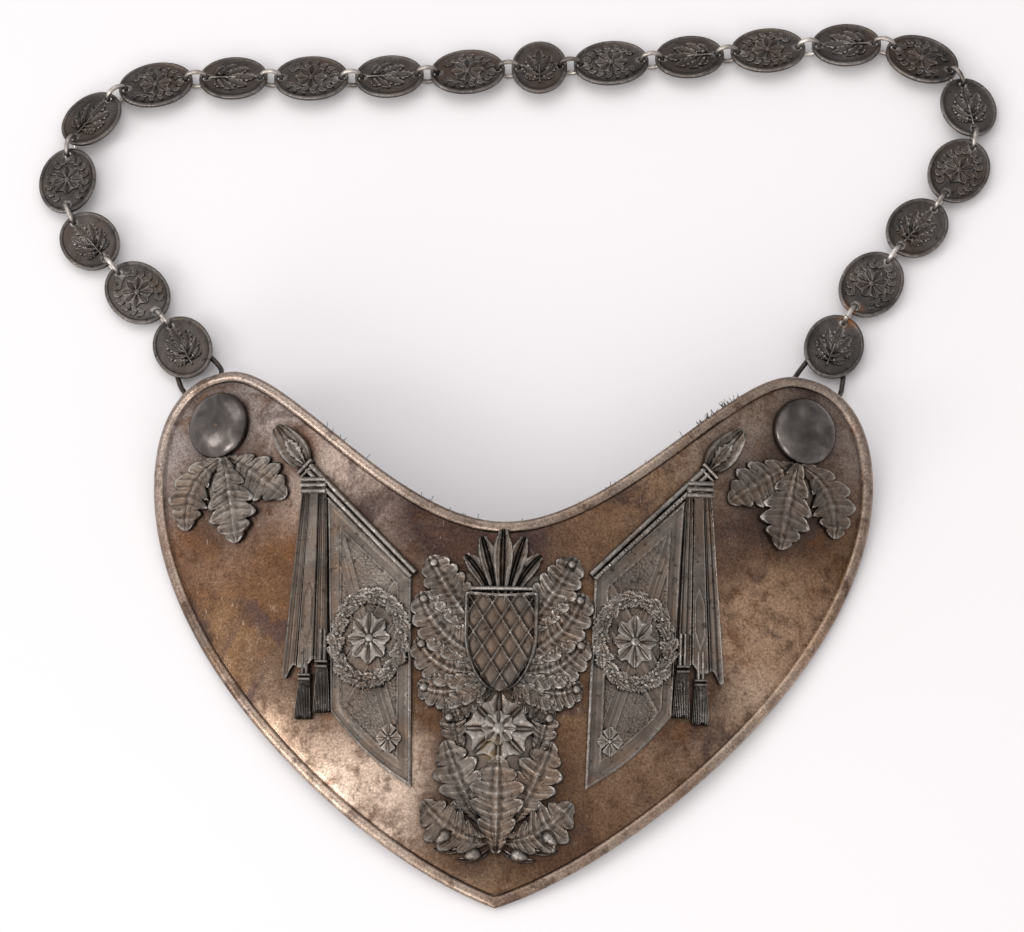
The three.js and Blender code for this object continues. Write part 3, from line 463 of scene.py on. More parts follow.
# Plate: outline in plan, then rings inset from it for the rolled rim, the groove and the flat
plateShape = {
    "width": 215.0, "height": 158.3, "widest": 128.0, "neck": 110.2, "horn": 84.0,
    "sheet": 1.1, "stripEvery": 2.5, "edgeTop": -0.35, "edgeUnder": -0.75,
    "rimRings": [
        (0.16, 0.5), (0.27, 0.36), (0.38, 0.24), (0.45, 0.12), (0.5, 0.03), (0.45, -0.05), (0.4, -0.16),
        (0.36, -0.26), (0.27, -0.33), (0.18, -0.3), (0.3, 0.0), (0.3, 0.1), (0.5, 0.08), (1.4, 0.02),
    ],
    "rimSteps": 9,  # the rings that count as rim in the finish
    "underRings": [(0.3, 0.3), (0.6, 0.2), (0.8, 0.05), (0.8, -0.15), (0.8, -0.2), (0.8, -0.05), (1.0, 0.2)],
}


def cubicAt(a, b, c, d, t):
    shares = (1 - t) ** 3, 3 * t * (1 - t) ** 2, 3 * t * t * (1 - t), t ** 3
    return tuple(sum(p[k] * share for p, share in zip((a, b, c, d), shares)) for k in (0, 1))


def neckRun(look):
    horn, tall, neck = look["horn"], look["height"], look["neck"]
    return (horn, tall), (horn * 0.782, tall), (horn * 0.376, neck), (0, neck)


def plateOutline(look):
    half, tall, wide, horn = look["width"] / 2, look["height"], look["widest"], look["horn"]
    runs = [
        ((0, 0), (half * 0.384, tall * 0.087), (half, wide * 0.588), (half, wide), 46),
        ((half, wide), (half, wide * 0.36 + tall * 0.64), (horn * 0.36 + half * 0.64, tall), (horn, tall), 18),
        (*neckRun(look), 34),
    ]
    points = [cubicAt(*run, i / steps) for *run, steps in runs for i in range(steps)]
    points.append((0, look["neck"]))
    return points + [(-x, y) for x, y in reversed(points[1:-1])]


def makePlate(look):
    bm = bmesh.new()
    top = bm.faces.new([bm.verts.new((x, y, look["edgeTop"])) for x, y in plateOutline(look)])
    addSheet(bm, top, look["edgeUnder"], look["rimRings"], look["underRings"], look["rimSteps"])
    cutStrips(bm, look["width"] / 2, look["stripEvery"])
    bendOntoPlate(bm)
    finishPiece("gorgetPlate", bm, "plate", "plate", sharp=50)


makePlate(plateShape)
print("plate made")

# Bosses: pressed domes with a turned-in foot
bossShape = {"x": 86.6, "y": 141.8, "radius": 10.1, "height": 4.2, "foot": 0.6, "steps": 16, "around": 56}
sides = {"Left": -1, "Right": 1}


def turnedAt(x):
    return tiltTurn @ Matrix.Rotation(math.asin(x / plateLie["radius"]), 3, "Y")


def makeBoss(word, side, look):
    bm = bmesh.new()
    radius, foot = look["radius"], look["foot"]
    spots = [Vector((radius * 0.96, 0, 0)), Vector((radius, 0, 0.25)), Vector((radius, 0, foot))]
    for i in range(1, look["steps"]):
        turn = math.pi / 2 * i / look["steps"]
        spots.append(Vector((radius * math.cos(turn) ** 0.9, 0, foot + (look["height"] - foot) * math.sin(turn))))
    spots.append(Vector((0, 0, look["height"])))
    verts = [bm.verts.new(spot) for spot in spots]
    edges = [bm.edges.new(pair) for pair in zip(verts, verts[1:])]
    bmesh.ops.spin(bm, geom=verts + edges, cent=(0, 0, 0), axis=(0, 0, 1), dvec=(0, 0, 0), angle=2 * math.pi,
                   steps=look["around"], use_merge=True)
    bmesh.ops.remove_doubles(bm, verts=bm.verts[:], dist=1e-4)
    bmesh.ops.holes_fill(bm, edges=[edge for edge in bm.edges if edge.is_boundary], sides=0)
    turned, base = turnedAt(side * look["x"]), onPlate(side * look["x"], look["y"], 0)
    for vert in bm.verts:
        vert.co = base + (turned @ vert.co) * mm
    finishPiece("boss" + word, bm, "boss", "boss_" + word.lower(), sharp=60)


for word, side in sides.items():
    makeBoss(word, side, bossShape)
print("bosses made")

# Leaf sprays: three oak leaves on short stems under each boss
sprayShape = {
    "leaves": [
        {"curve": ((85, 131.4), (96, 127), (95.4, 112.4)), "half": 7.0, "rise": 1.7},
        {"curve": ((83.6, 131.4), (76, 128), (65.6, 119.6)), "half": 7.0, "rise": 1.7},
        {"curve": ((84.2, 132), (81.5, 121), (79.4, 107.6)), "half": 7.6, "rise": 1.8, "lift": 0.4},
    ],
    "web": (82.4, 123.4, 7.5, 0.9, 0, 32),  # the metal between the leaves, as a dome
    "leafGrid": (40, 90),
}


# Work drawn on the right side is mirrored where it belongs on the left, then bent onto the plate
def finishRelief(name, bm, node, side=1):
    if side < 0:
        mirrorWork(bm)
    markRidges(bm)
    bendOntoPlate(bm)
    finishPiece(name, bm, "relief", node)


def makeSpray(word, side, look):
    bm = bmesh.new()
    addDome(bm, *look["web"])
    for leaf in look["leaves"]:
        addLeafRow(bm, "oak", leaf, *look["leafGrid"])
    finishRelief("leafSpray" + word, bm, "leaf_spray_" + word.lower(), side)


for word, side in sides.items():
    makeSpray(word, side, sprayShape)
print("sprays made")

# Standards: staff, finial, ferrule, cloth with its wreath, streamers and tassels
standardShape = {
    "staff": ((57.5, 126.8), (25.6, 94.4)), "staffWidth": 1.9, "staffApart": 0.62, "studs": 13,
    "finial": {"curve": ((58.4, 127.6), (62.5, 133), (67.4, 139.4)), "half": 4.3, "rise": 2.2},
    "collars": [((56.6, 129.2), (60.6, 125.2), 1.6, 2.4), ((56.0, 127.6), (59.4, 124.2), 1.3, 2.2)],
    "ferrule": [(51.9, 119.6), (51.8, 121.3), (51.9, 123.0)], "ferruleRun": (7.4, 0.3), "bandWidth": 2.1,
    "cloth": {
        "topIn": (26.2, 93.6), "topOut": (51.6, 117.8), "lowOut": (48.6, 55.6), "lowIn": (24.5, 33.6),
        "rise": 1.25, "border": 3.8, "band": 2.3, "width": 24.5, "tall": 43.0, "grid": (120, 240),
    },
    "streamers": {
        "topIn": (51.8, 120.5), "topOut": (59.0, 121.5), "footIn": (49.9, 72.5), "footOut": (63.2, 66.0),
        "rise": 2.2, "seams": (-0.42, 0.34), "hexagon": (0.72, 0.16), "grid": (90, 130),
    },
    "tassels": [((56.3, 74), (56.5, 53.6)), ((51.3, 79), (51.0, 55.4))],
    "wreath": {"spot": (37.8, 76.2), "wide": 10.0, "tall": 12.8, "leaves": 26, "rosette": 5.4},
    "blossom": {"spot": (31.2, 47.4), "radius": 2.9},
}


# Three ribbons hang as one bundle: seams between them, folds down the outer two, a long hexagon on the middle one
def addStreamers(bm, look):
    topIn, topOut, footIn, footOut = (Vector(look[k]) for k in ("topIn", "topOut", "footIn", "footOut"))
    near, far = look["seams"]

    def place(u, side):
        spot = topIn.lerp(topOut, (side + 1) / 2).lerp(footIn.lerp(footOut, (side + 1) / 2), u)
        middle = near < side < far
        if middle:
            share = (side - near) / (far - near)
        else:
            share = (side + 1) / (near + 1) if side < near else (side - far) / (1 - far)
        h = 0.86 if middle else 0.66 + 0.12 * math.cos(share * 4 * math.pi) + 0.1 * math.cos(share * 2 * math.pi)
        h -= 0.24 * bump(side - near, 0.03) + 0.24 * bump(side - far, 0.03)
        if middle:
            away = abs(share - 0.5) * 2
            h += 0.07 * bump(away - 0.84, 0.07)
            tip = abs(u - look["hexagon"][0]) / look["hexagon"][1]
            reach = away / 0.6 + max(0, tip - 0.55) / 0.45
            h += 0.12 * bump(reach - 1, 0.16) + (0.05 if reach < 1 else 0)
            spot.y -= 1.6 * u ** 8 * (1 - away)
        else:
            spot.y += 1.3 * u ** 8 * math.sin(share * math.pi * 2)
        h += 0.03 * math.sin(u * 17 + side * 4)
        h -= 0.4 * max(0, (abs(side) - 0.95) / 0.05) ** 2
        return spot.x, spot.y, look["rise"] * h

    addRaised(bm, *look["grid"], place)


def addTassel(bm, top, foot):
    a, b = Vector(top), Vector(foot)
    neck = a.lerp(b, 0.4)
    for shift in (-0.62, 0.62):  # two cords side by side
        addBar(bm, (a.x + shift, a.y), (neck.x + shift, neck.y), 1.25, 2.3, 8, 8)
    for at in (0.40, 0.46):
        y = a.y + (b.y - a.y) * at
        addBar(bm, (a.x - 1.75, y), (a.x + 1.75, y + 0.15), 1.25, 2.5, 8, 8)
    start = a.lerp(b, 0.48)

    def place(u, side):
        wide = 1.5 + 0.85 * u ** 0.7
        spot = start.lerp(b, u)
        ribs = abs(math.sin(side * 4.5 * math.pi))
        h = 2.15 * (0.62 + 0.38 * math.sqrt(max(0, 1 - 0.8 * side * side))) - 0.5 * (1 - ribs)
        return spot.x + side * wide, spot.y + 0.45 * math.sin(side * 23) * u ** 6, h

    addRaised(bm, 54, 10, place)


# Cloth: a hemmed border, two crossed bands, pebbled fields between them and slow folds
def addCloth(bm, look):
    topIn, topOut, lowOut, lowIn = (Vector(look[k]) for k in ("topIn", "topOut", "lowOut", "lowIn"))

    def place(u, side):
        v = (side + 1) / 2
        hem = lowIn.lerp(lowOut, v) + Vector((0.8, -1.6)) * math.sin(v * math.pi)
        spot = topIn.lerp(topOut, v).lerp(hem, u)
        h = 0.66 + 0.13 * math.sin(v * 8 + u * 4) + 0.09 * math.sin(u * 13 - v * 5)
        edge = min(min(v, 1 - v) * look["width"], min(u, 1 - u) * look["tall"])
        h += 0.28 * bump(edge - 0.5, 0.3) + 0.24 * bump(edge - look["border"], 0.3)
        h -= 0.12 * bump(edge - look["border"] / 2, 0.5)
        cross = min(abs(v - u), abs(v - 1 + u)) * look["width"] * 0.93
        if edge > look["border"]:
            h += 0.26 * bump(cross - look["band"], 0.28)
            if cross > look["band"] + 0.4 and edge > look["border"] + 0.4:
                h += 0.2 * noise.noise(Vector((spot.x, spot.y, 0)) * 1.9) - 0.06
            else:
                h += 0.05 * math.cos(cross * 4)
        return spot.x, spot.y, look["rise"] * max(h, 0.2)

    addRaised(bm, *look["grid"], place)


def addWreathRound(bm, look, lift):
    def onRing(turn, grow):
        x, y = look["spot"]
        return Vector((x + math.cos(turn) * look["wide"] * grow, y + math.sin(turn) * look["tall"] * grow))

    count = look["leaves"]
    rings = ((1.1, 1.9, 1.1, 0.75), (0.78, 1.7, 1.0, -0.75), (0.95, 2.0, 1.4, 0.1))
    for ring, (grow, half, rise, lean) in enumerate(rings):
        for i in range(count):
            turn = 2 * math.pi * (i + ring * 0.5) / count
            way = turn + math.pi / 2 + lean + 0.35 * math.sin(i * 2.3)
            base = onRing(turn, grow)
            end = base + Vector((math.cos(way), math.sin(way))) * 4.6
            bend = (base + end) / 2 + Vector((math.cos(turn), math.sin(turn))) * 0.5
            addLeaf(bm, "oak", base, bend, end, half, rise, lift - 0.3, 8, 16, foot=0.2)
    for i in range(count // 2):
        berry = onRing(2 * math.pi * (i + 0.25) / (count // 2), 0.93)
        addDome(bm, berry.x, berry.y, 0.8, 0.8, lift + 0.5, 10)


def addRosette(bm, x, y, radius, petals, rise, lift, squash=1.0, foot=-0.1):
    for i in range(petals):
        turn = 2 * math.pi * i / petals
        way = Vector((math.cos(turn), math.sin(turn) * squash))
        base, end = Vector((x, y)) + way * radius * 0.2, Vector((x, y)) + way * radius
        half = radius * math.sin(math.pi / petals) * 0.98
        addLeaf(bm, "palm", base, (base + end) / 2, end, half, rise, lift, 10, 14, foot)
    addDome(bm, x, y, radius * 0.27, rise * 1.1, lift + rise * 0.25, 16)


def makeStandard(word, side, look):
    bm = bmesh.new()
    addCloth(bm, look["cloth"])
    clothTop = look["cloth"]["rise"]
    for row, rise in ((-1, 2.2), (1, 1.95)):
        shift = look["staffApart"] * row
        a, b = ((x + shift, y - shift) for x, y in look["staff"])
        addBar(bm, a, b, look["staffWidth"], rise, 10, 30)
        if side > 0 and row > 0:  # only the right staff is studded
            for i in range(look["studs"]):
                share = 0.1 + 0.84 * i / (look["studs"] - 1)
                addDome(bm, a[0] + (b[0] - a[0]) * share, a[1] + (b[1] - a[1]) * share, 0.62, 0.6, 1.85, 12)
    finial = look["finial"]
    addLeafRow(bm, "spear", finial, 20, 32)
    foot, bend, end = map(Vector, finial["curve"])
    addLeaf(bm, "oak", foot, bend.lerp(foot, 0.3), end.lerp(foot, 0.35), 2.2, 1.2, 1.2, 10, 20)
    for start, end, width, rise in look["collars"]:
        addBar(bm, start, end, width, rise, 10, 8)
    across, slope = look["ferruleRun"]
    for x, y in look["ferrule"]:
        addBar(bm, (x, y), (x + across, y + slope), look["bandWidth"], 2.75, 10, 10)
    addStreamers(bm, look["streamers"])
    for top, foot in look["tassels"]:
        addTassel(bm, top, foot)
    wreath, blossom = look["wreath"], look["blossom"]
    addWreathRound(bm, wreath, clothTop)
    addRosette(bm, *wreath["spot"], wreath["rosette"], 8, 1.0, clothTop - 0.2, 1.25, foot=0.2)
    addRosette(bm, *blossom["spot"], blossom["radius"], 4, 0.7, clothTop - 0.15, 1.2, foot=0.2)
    finishRelief("standard" + word, bm, "standard_" + word.lower(), side)


for word, side in sides.items():
    makeStandard(word, side, standardShape)
print("standards made")

# Centre trophy: shield with a lozenge field, palm crest and acanthus mantling
trophyShape = {
    "shield": {"top": 89.5, "shoulder": 78.0, "point": 60.6, "half": 10.7, "rise": 3.1},
    "crest": [
        {"curve": ((0, 86), (0, 96), (0, 106.6)), "half": 3.0, "lift": 0.35},
        {"curve": ((1.1, 86), (2.9, 96), (5.8, 104.6)), "half": 2.7, "lift": 0.15},
        {"curve": ((2.2, 86), (5.2, 95), (10.2, 99.6)), "half": 2.5},
    ],
    "mantling": [
        {"curve": ((7.0, 79), (14.5, 88), (20.0, 98.4)), "half": 6.6},
        {"curve": ((6.5, 71.5), (18.5, 76), (22.6, 88)), "half": 6.6},
        {"curve": ((5.5, 66.5), (17.5, 65.0), (23.0, 75.0)), "half": 6.2},
        {"curve": ((4.0, 64), (15.2, 58.5), (22.0, 62.5)), "half": 5.6},
        {"curve": ((3.0, 63), (10.2, 58.0), (14.5, 54.0)), "half": 4.6},
    ],
    "web": [(0, 78, 20, 1.1, 0, 48), (0, 68, 17, 0.8, 0, 48)],
    "mantlingGrid": (30, 76), "crestGrid": (22, 30), "shieldGrid": (76, 96), "berry": 1.3,
    "bar": {"half": 8.6, "y": 90.3, "width": 2.0, "rise": 3.1},
    "rise": 2.3,
}


def addShield(bm, look, grid):
    def place(u, side):
        y = look["top"] + (look["point"] - look["top"]) * u
        if y > look["shoulder"]:
            half = look["half"]
        else:
            fall = (look["shoulder"] - y) / (look["shoulder"] - look["point"])
            half = look["half"] * math.sqrt(max(0.0, 1 - fall ** 1.8)) + 0.05
        x = side * half
        y -= 0.8 * (1 - side * side) * (1 - u) ** 6
        fromEdge = min((1 - abs(side)) * half, (look["top"] - y) * 0.9 + 0.3)
        h = look["rise"] * (0.66 + 0.1 * (1 - side * side))
        h += look["rise"] * 0.24 * bump(fromEdge - 0.75, 0.42)
        if fromEdge > 1.5:
            a, b = x / 5.2 + y / 8.2, x / 5.2 - y / 8.2
            line = 0.5 - max(abs((a % 1) - 0.5), abs((b % 1) - 0.5))
            field = 0.05 * min(1, max(0, line - 0.2) / 0.2) - 0.13 * min(1, line / 0.16)
            h += look["rise"] * (0.13 * bump(line, 0.05) + field)
        h -= look["rise"] * 0.4 * max(0, 1 - fromEdge / 0.35) ** 2
        return x, y, h

    addRaised(bm, *grid, place)


def makeTrophy(look):
    bm = bmesh.new()
    for web in look["web"]:
        addDome(bm, *web)
    for side in sides.values():
        for row in look["mantling"]:
            addLeafRow(bm, "acanthus", row, *look["mantlingGrid"], side, look["rise"])
            x, y = row["curve"][2]
            addDome(bm, side * (x - 0.4), y - 0.6, look["berry"], look["berry"], 1.5, 16)
    for row in look["crest"]:
        for side in ((1,) if row["curve"][2][0] == 0 else sides.values()):
            addLeafRow(bm, "palm", row, *look["crestGrid"], side, look["rise"])
    addShield(bm, look["shield"], look["shieldGrid"])
    bar = look["bar"]
    addBar(bm, (-bar["half"], bar["y"]), (bar["half"], bar["y"]), bar["width"], bar["rise"], 12, 20)
    finishRelief("centreTrophy", bm, "centre_trophy")


makeTrophy(trophyShape)
print("trophy made")

# Oak wreath: seven leaves fanned up round a rosette, acorns and curls at the foot
wreathShape = {
    "leaves": [
        {"curve": ((2.0, 19.0), (11, 18.0), (19.8, 28.4)), "half": 7.4, "rise": 2.1},
        {"curve": ((4.5, 24), (9.5, 32), (14.4, 45.2)), "half": 7.2, "rise": 2.1, "lift": 0.15},
        {"curve": ((9.5, 42), (13.5, 48), (13.0, 56.4)), "half": 4.2, "rise": 1.9},
    ],
    "middle": {"curve": ((0, 15.0), (0, 26), (0, 40.6)), "half": 8.4, "rise": 2.3, "lift": 0.45},
    "web": [(0, 34, 12, 1.0, 0, 48), (0, 44, 11, 0.8, 0, 48)],
    "leafGrid": (40, 96), "curlGrid": (8, 24), "middleGrid": (44, 100),
    "rosette": {"spot": (0, 50.4), "radius": 8.7, "petals": 8, "rise": 2.0},
    "acorns": [(15.0, 19.4, -2.3), (6.6, 14.6, -1.8)], "nut": (5.2, 2.2),
    "curls": [
        {"curve": ((1, 17), (5, 12.5), (11, 13.5)), "half": 0.9, "rise": 1.6},
        {"curve": ((9, 16.5), (13, 14.8), (17.4, 16.4)), "half": 0.9, "rise": 1.6},
    ],
}


def makeWreath(look):
    bm = bmesh.new()
    for web in look["web"]:
        addDome(bm, *web)
    for side in sides.values():
        for leaf in look["leaves"]:
            addLeafRow(bm, "oak", leaf, *look["leafGrid"], side)
        for x, y, turn in look["acorns"]:
            addAcorn(bm, side * x, y, side * turn, *look["nut"])
        for curl in look["curls"]:
            addLeafRow(bm, "bay", curl, *look["curlGrid"], side)
    addLeafRow(bm, "oak", look["middle"], *look["middleGrid"])
    rose = look["rosette"]
    radius, petals = rose["radius"], rose["petals"]
    addDome(bm, *rose["spot"], radius * 0.96, 1.2, 0.0, 48)
    addRosette(bm, *rose["spot"], radius, petals, rose["rise"], 0.3)
    addRosette(bm, *rose["spot"], radius * 0.5, petals, 0.9, 1.7)
    finishRelief("oakWreath", bm, "oak_wreath")


makeWreath(wreathShape)
print("wreath made")

# Felt backing: a thick sheet under the plate, with stray fibres past the neck edge
feltShape = {
    "thick": 1.2, "gap": 0.3, "margin": 6.0, "stripEvery": 3.0, "strand": 0.09, "joints": 5,
    "tufts": [(0.3, 0.03, 34), (0.38, 0.02, 22), (0.34, 0.08, 16), (0.66, 0.16, 12), (1.2, 0.2, 12), (1.5, 0.05, 8)],
}


def addWires(bm, runs, radius, closed, sides):
    wire = bpy.data.curves.new("wire", "CURVE")
    wire.dimensions = "3D"
    wire.bevel_depth = radius
    wire.bevel_resolution = sides
    wire.use_fill_caps = not closed
    for points in runs:
        run = wire.splines.new("POLY")
        run.points.add(len(points) - 1)
        for point, spot in zip(run.points, points):
            point.co = (*spot, 1)
        run.use_cyclic_u = closed
    holder = placed("wire", wire)
    bm.from_mesh(evaluatedMesh(holder))
    bpy.data.objects.remove(holder)


# Stray fibres start under the neck's edge and curl out past it, in tufts
def addFibres(bm, look):
    runs = []
    for middle, spread, count in look["tufts"]:
        for _ in range(count):
            t = min(1.96, max(0.04, middle + random.gauss(0, spread / 2)))
            side, t = (1, t) if t < 1 else (-1, 2 - t)
            x, y = cubicAt(*neckRun(plateShape), t)
            fall = math.atan2(y - plateShape["neck"], x)
            reach = random.uniform(-0.4, 1.5)
            way = Vector((-math.sin(fall), math.cos(fall))) if t < 0.9 else Vector((0, 1))
            bend, run = random.uniform(-1, 1), []
            for step in range(look["joints"] + 1):
                share = step / look["joints"]
                out = -5.5 + (5.5 + reach) * share
                sway = bend * 2.6 * share ** 2
                h = -plateShape["sheet"] - 0.7 - 0.5 * math.sin(share * 5 + bend) + 0.9 * share ** 2
                past, beside = way.x * out + way.y * sway, way.y * out - way.x * sway
                run.append(onPlate(side * (x + past), y + beside, h))
            runs.append(run)
    addWires(bm, runs, look["strand"] * mm, False, 0)


def makeFelt(look):
    bm = bmesh.new()
    low = -plateShape["sheet"] - look["gap"] - look["thick"]
    sheet = bm.faces.new([bm.verts.new((x, y, low)) for x, y in plateOutline(plateShape)])
    bm.normal_update()
    bmesh.ops.inset_region(bm, faces=[sheet], use_boundary=True, thickness=look["margin"], depth=0,
                           use_even_offset=True)
    bmesh.ops.delete(bm, geom=[face for face in bm.faces if face is not sheet], context="FACES")
    for vert in only(bmesh.types.BMVert, bmesh.ops.extrude_face_region(bm, geom=[sheet])["geom"]):
        vert.co.z = low + look["thick"]
    cutStrips(bm, plateShape["width"] / 2, look["stripEvery"])
    bendOntoPlate(bm)
    addFibres(bm, look)
    finishPiece("feltBacking", bm, "felt", "felt_backing")


makeFelt(feltShape)
print("felt made")


def cornersOf(node):
    return sorted({tuple(round(c, 7) for c in vert.co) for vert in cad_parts[node].data.vertices})


# Chain links: each one's place is read from its own solid
def flatLie(node, thickness):
    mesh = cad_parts[node].data
    areas = {}
    for face in mesh.polygons:
        key = tuple(round(c, 2) for c in face.normal)
        total, way = areas.get(key, (0, Vector()))
        areas[key] = (total + face.area, way + face.normal * face.area)
    up = max(areas.values(), key=lambda pair: pair[0])[1].normalized()
    if up.z < 0:
        up.negate()
    floors = [face.center.dot(up) for face in mesh.polygons if face.normal.dot(up) < -0.999 and face.area > 1e-6]
    back = sorted(floors)[len(floors) // 2]
    rim = [spot for spot in map(Vector, cornersOf(node)) if abs(spot.dot(up) - back - thickness * mm) < 4e-5]
    centre = sum(rim, Vector()) / len(rim)
    far = max(rim, key=lambda spot: (spot - centre).length)
    side = (far - centre).normalized()
    cross = up.cross(side)
    arms = [((spot - centre).dot(side), (spot - centre).dot(cross)) for spot in rim]
    turn = 0.5 * math.atan2(2 * sum(x * y for x, y in arms), sum(x * x - y * y for x, y in arms))
    along = side * math.cos(turn) + cross * math.sin(turn)
    return centre - up * thickness * mm / 2, along, up


linkShape = {
    "count": 21, "large": (24.2, 18.8), "small": (22.3, 18.0), "thick": 1.4, "dish": 0.35, "hole": 1.3,
    "holeInset": 2.2, "motifRise": 0.62, "ringRadius": 3.33, "ringWire": 1.5, "hookWire": 1.6, "hookTop": 8.0,
    "hookBase": 15.0, "hookExit": 2.4, "hookDepth": 2.9, "hookSeat": 0.9286, "edgeTop": -0.35, "edgeUnder": 0.3,
    "faceRings": [
        (0.1, 0.18), (0.16, 0.12), (0.25, 0.05), (0.3, 0.0), (0.22, -0.1), (0.14, -0.21), (0.16, -0.07),
        (1.2, 0.02), (1.6, 0.03),
    ],
    "backRings": [(0.12, 0.18), (0.2, 0.1), (0.5, 0.02), (1.0, 0.0)], "bays": 7,
    "sprig": [
        ((-0.2, 0), (0.3, 0), (1.0, 0), 0.28), ((-0.35, 0.05), (0.1, 0.4), (0.62, 0.5), 0.24),
        ((-0.6, 0.05), (-0.4, 0.45), (0.02, 0.72), 0.22), ((-0.8, 0.05), (-0.75, 0.4), (-0.5, 0.62), 0.18),
    ],
}


def addOval(bm, length, width, look):
    made = bmesh.ops.create_circle(bm, cap_ends=True, radius=1, segments=72)["verts"]
    for vert in made:
        vert.co = Vector((vert.co.x * length / 2, vert.co.y * width / 2, look["thick"] / 2 + look["edgeTop"]))
    top = made[0].link_faces[0]
    if top.normal.z < 0:
        bmesh.ops.reverse_faces(bm, faces=[top])
    addSheet(bm, top, look["edgeUnder"] - look["thick"] / 2, look["faceRings"], look["backRings"])


def punched(bm, holes, look):
    tool, radius = bmesh.new(), look["hole"]
    for x, y in holes:
        bmesh.ops.create_cone(tool, cap_ends=True, segments=20, radius1=radius, radius2=radius, depth=4,
                              matrix=Matrix.Translation((x, y, 0)))
    body, punch = placed("disc", meshFrom("disc", bm)), placed("punch", meshFrom("punch", tool))
    drill = body.modifiers.new("drill", "BOOLEAN")
    drill.operation = "DIFFERENCE"
    drill.object = punch
    bm = bmesh.new()
    bm.from_mesh(evaluatedMesh(body))
    for made in (body, punch):
        bpy.data.objects.remove(made)
    return bm


# Small links carry an oak sprig that grows along +X, with acorns at its foot
def addSprig(bm, reach, look):
    floor = look["thick"] / 2 - look["dish"] - 0.05
    rise = look["motifRise"] * 1.25
    for row, (*curve, half) in enumerate(look["sprig"]):
        for side in ((1,) if row == 0 else (1, -1)):
            spots = [(x * reach, side * y * reach) for x, y in curve]
            addLeaf(bm, "oak", *spots, half * reach, rise, floor, 10, 26, foot=floor - 0.2)
    addBar(bm, (-reach * 1.02, 0), (reach * 0.1, 0), 0.7, rise * 0.8, 6, 8, lift=floor, foot=floor - 0.2)
    for x, y in ((-0.12, 0.4), (-0.12, -0.4), (-0.66, 0.22), (-0.66, -0.22)):
        addDome(bm, x * reach, y * reach, reach * 0.1, rise * 0.8, floor + 0.15, 12, 0.8)


# Large links carry a rosette between two bay branches
def addLargeWork(bm, reach, look):
    floor = look["thick"] / 2 - look["dish"] - 0.05
    rise = look["motifRise"] * 1.2
    addRosette(bm, 0, 0, reach * 0.6, 8, rise, floor, foot=floor - 0.2)
    addDome(bm, 0, 0, reach * 0.16, rise, floor + rise * 0.45, 18)
    for side in (-1, 1):
        for i in range(look["bays"]):
            turn = math.radians(-62 + 124 * i / (look["bays"] - 1))
            centre = Vector((math.sin(turn) * reach * 1.04, side * math.cos(turn) * reach * 0.74))
            ahead = Vector((math.cos(turn), -side * math.sin(turn)))
            for lean in (-0.7, 0.5):
                across = Vector((-ahead.y, ahead.x)) * lean
                end = centre + (ahead + across).normalized() * reach * 0.32
                addLeaf(bm, "bay", centre, (centre + end) / 2, end, reach * 0.1, rise, floor, 6, 10, foot=floor - 0.2)


def makeLink(kind, look):
    length, width = look["large"] if kind == "large" else look["small"]
    reach = length / 2 - look["holeInset"]
    holes = [(-reach, 0), (reach, 0)]
    if kind == "end":
        holes = holes[1:]
    if kind == "crosswise":
        holes = [(0, sign * (width / 2 - look["holeInset"])) for sign in (-1, 1)]
    bm = bmesh.new()
    addOval(bm, length, width, look)
    bm = punched(bm, holes, look)
    if kind == "large":
        addLargeWork(bm, width * 0.4, look)
    else:
        addSprig(bm, width * 0.39, look)
    bmesh.ops.recalc_face_normals(bm, faces=bm.faces[:])
    markRidges(bm, 6)
    return meshFrom("link" + kind, bm)


# The hook's wire: over the back of the link, past its edge and through the staple
def hookPath(side, centre, basis, look):
    turned = turnedAt(side * bossShape["x"])
    staple = onPlate(side * bossShape["x"], plateShape["height"] * look["hookSeat"], -plateShape["sheet"] - 0.375)
    half, back = look["hookBase"] / 2, -(look["thick"] + look["hookWire"]) / 2 + 0.2
    bar = [staple + (turned @ Vector((x, 0, -look["hookDepth"]))) * mm for x in (-half, half)]
    past, narrow = -look["small"][0] / 2 - look["hookExit"], look["hookTop"] / 2
    corners = ((past, half), (0, narrow), (0, -narrow), (past, -half))
    flat = [centre + (basis @ Vector((x, y, back))) * mm for x, y in corners]
    if (flat[3] - bar[0]).length > (flat[3] - bar[1]).length:
        bar.reverse()
    return flat + bar


def softened(points, rounds=3, keep=0.12):
    for _ in range(rounds):
        pairs = zip(points, points[1:] + points[:1])
        points = [spot for a, b in pairs for spot in (a.lerp(b, keep), a.lerp(b, 1 - keep))]
        keep = 0.25
    return points


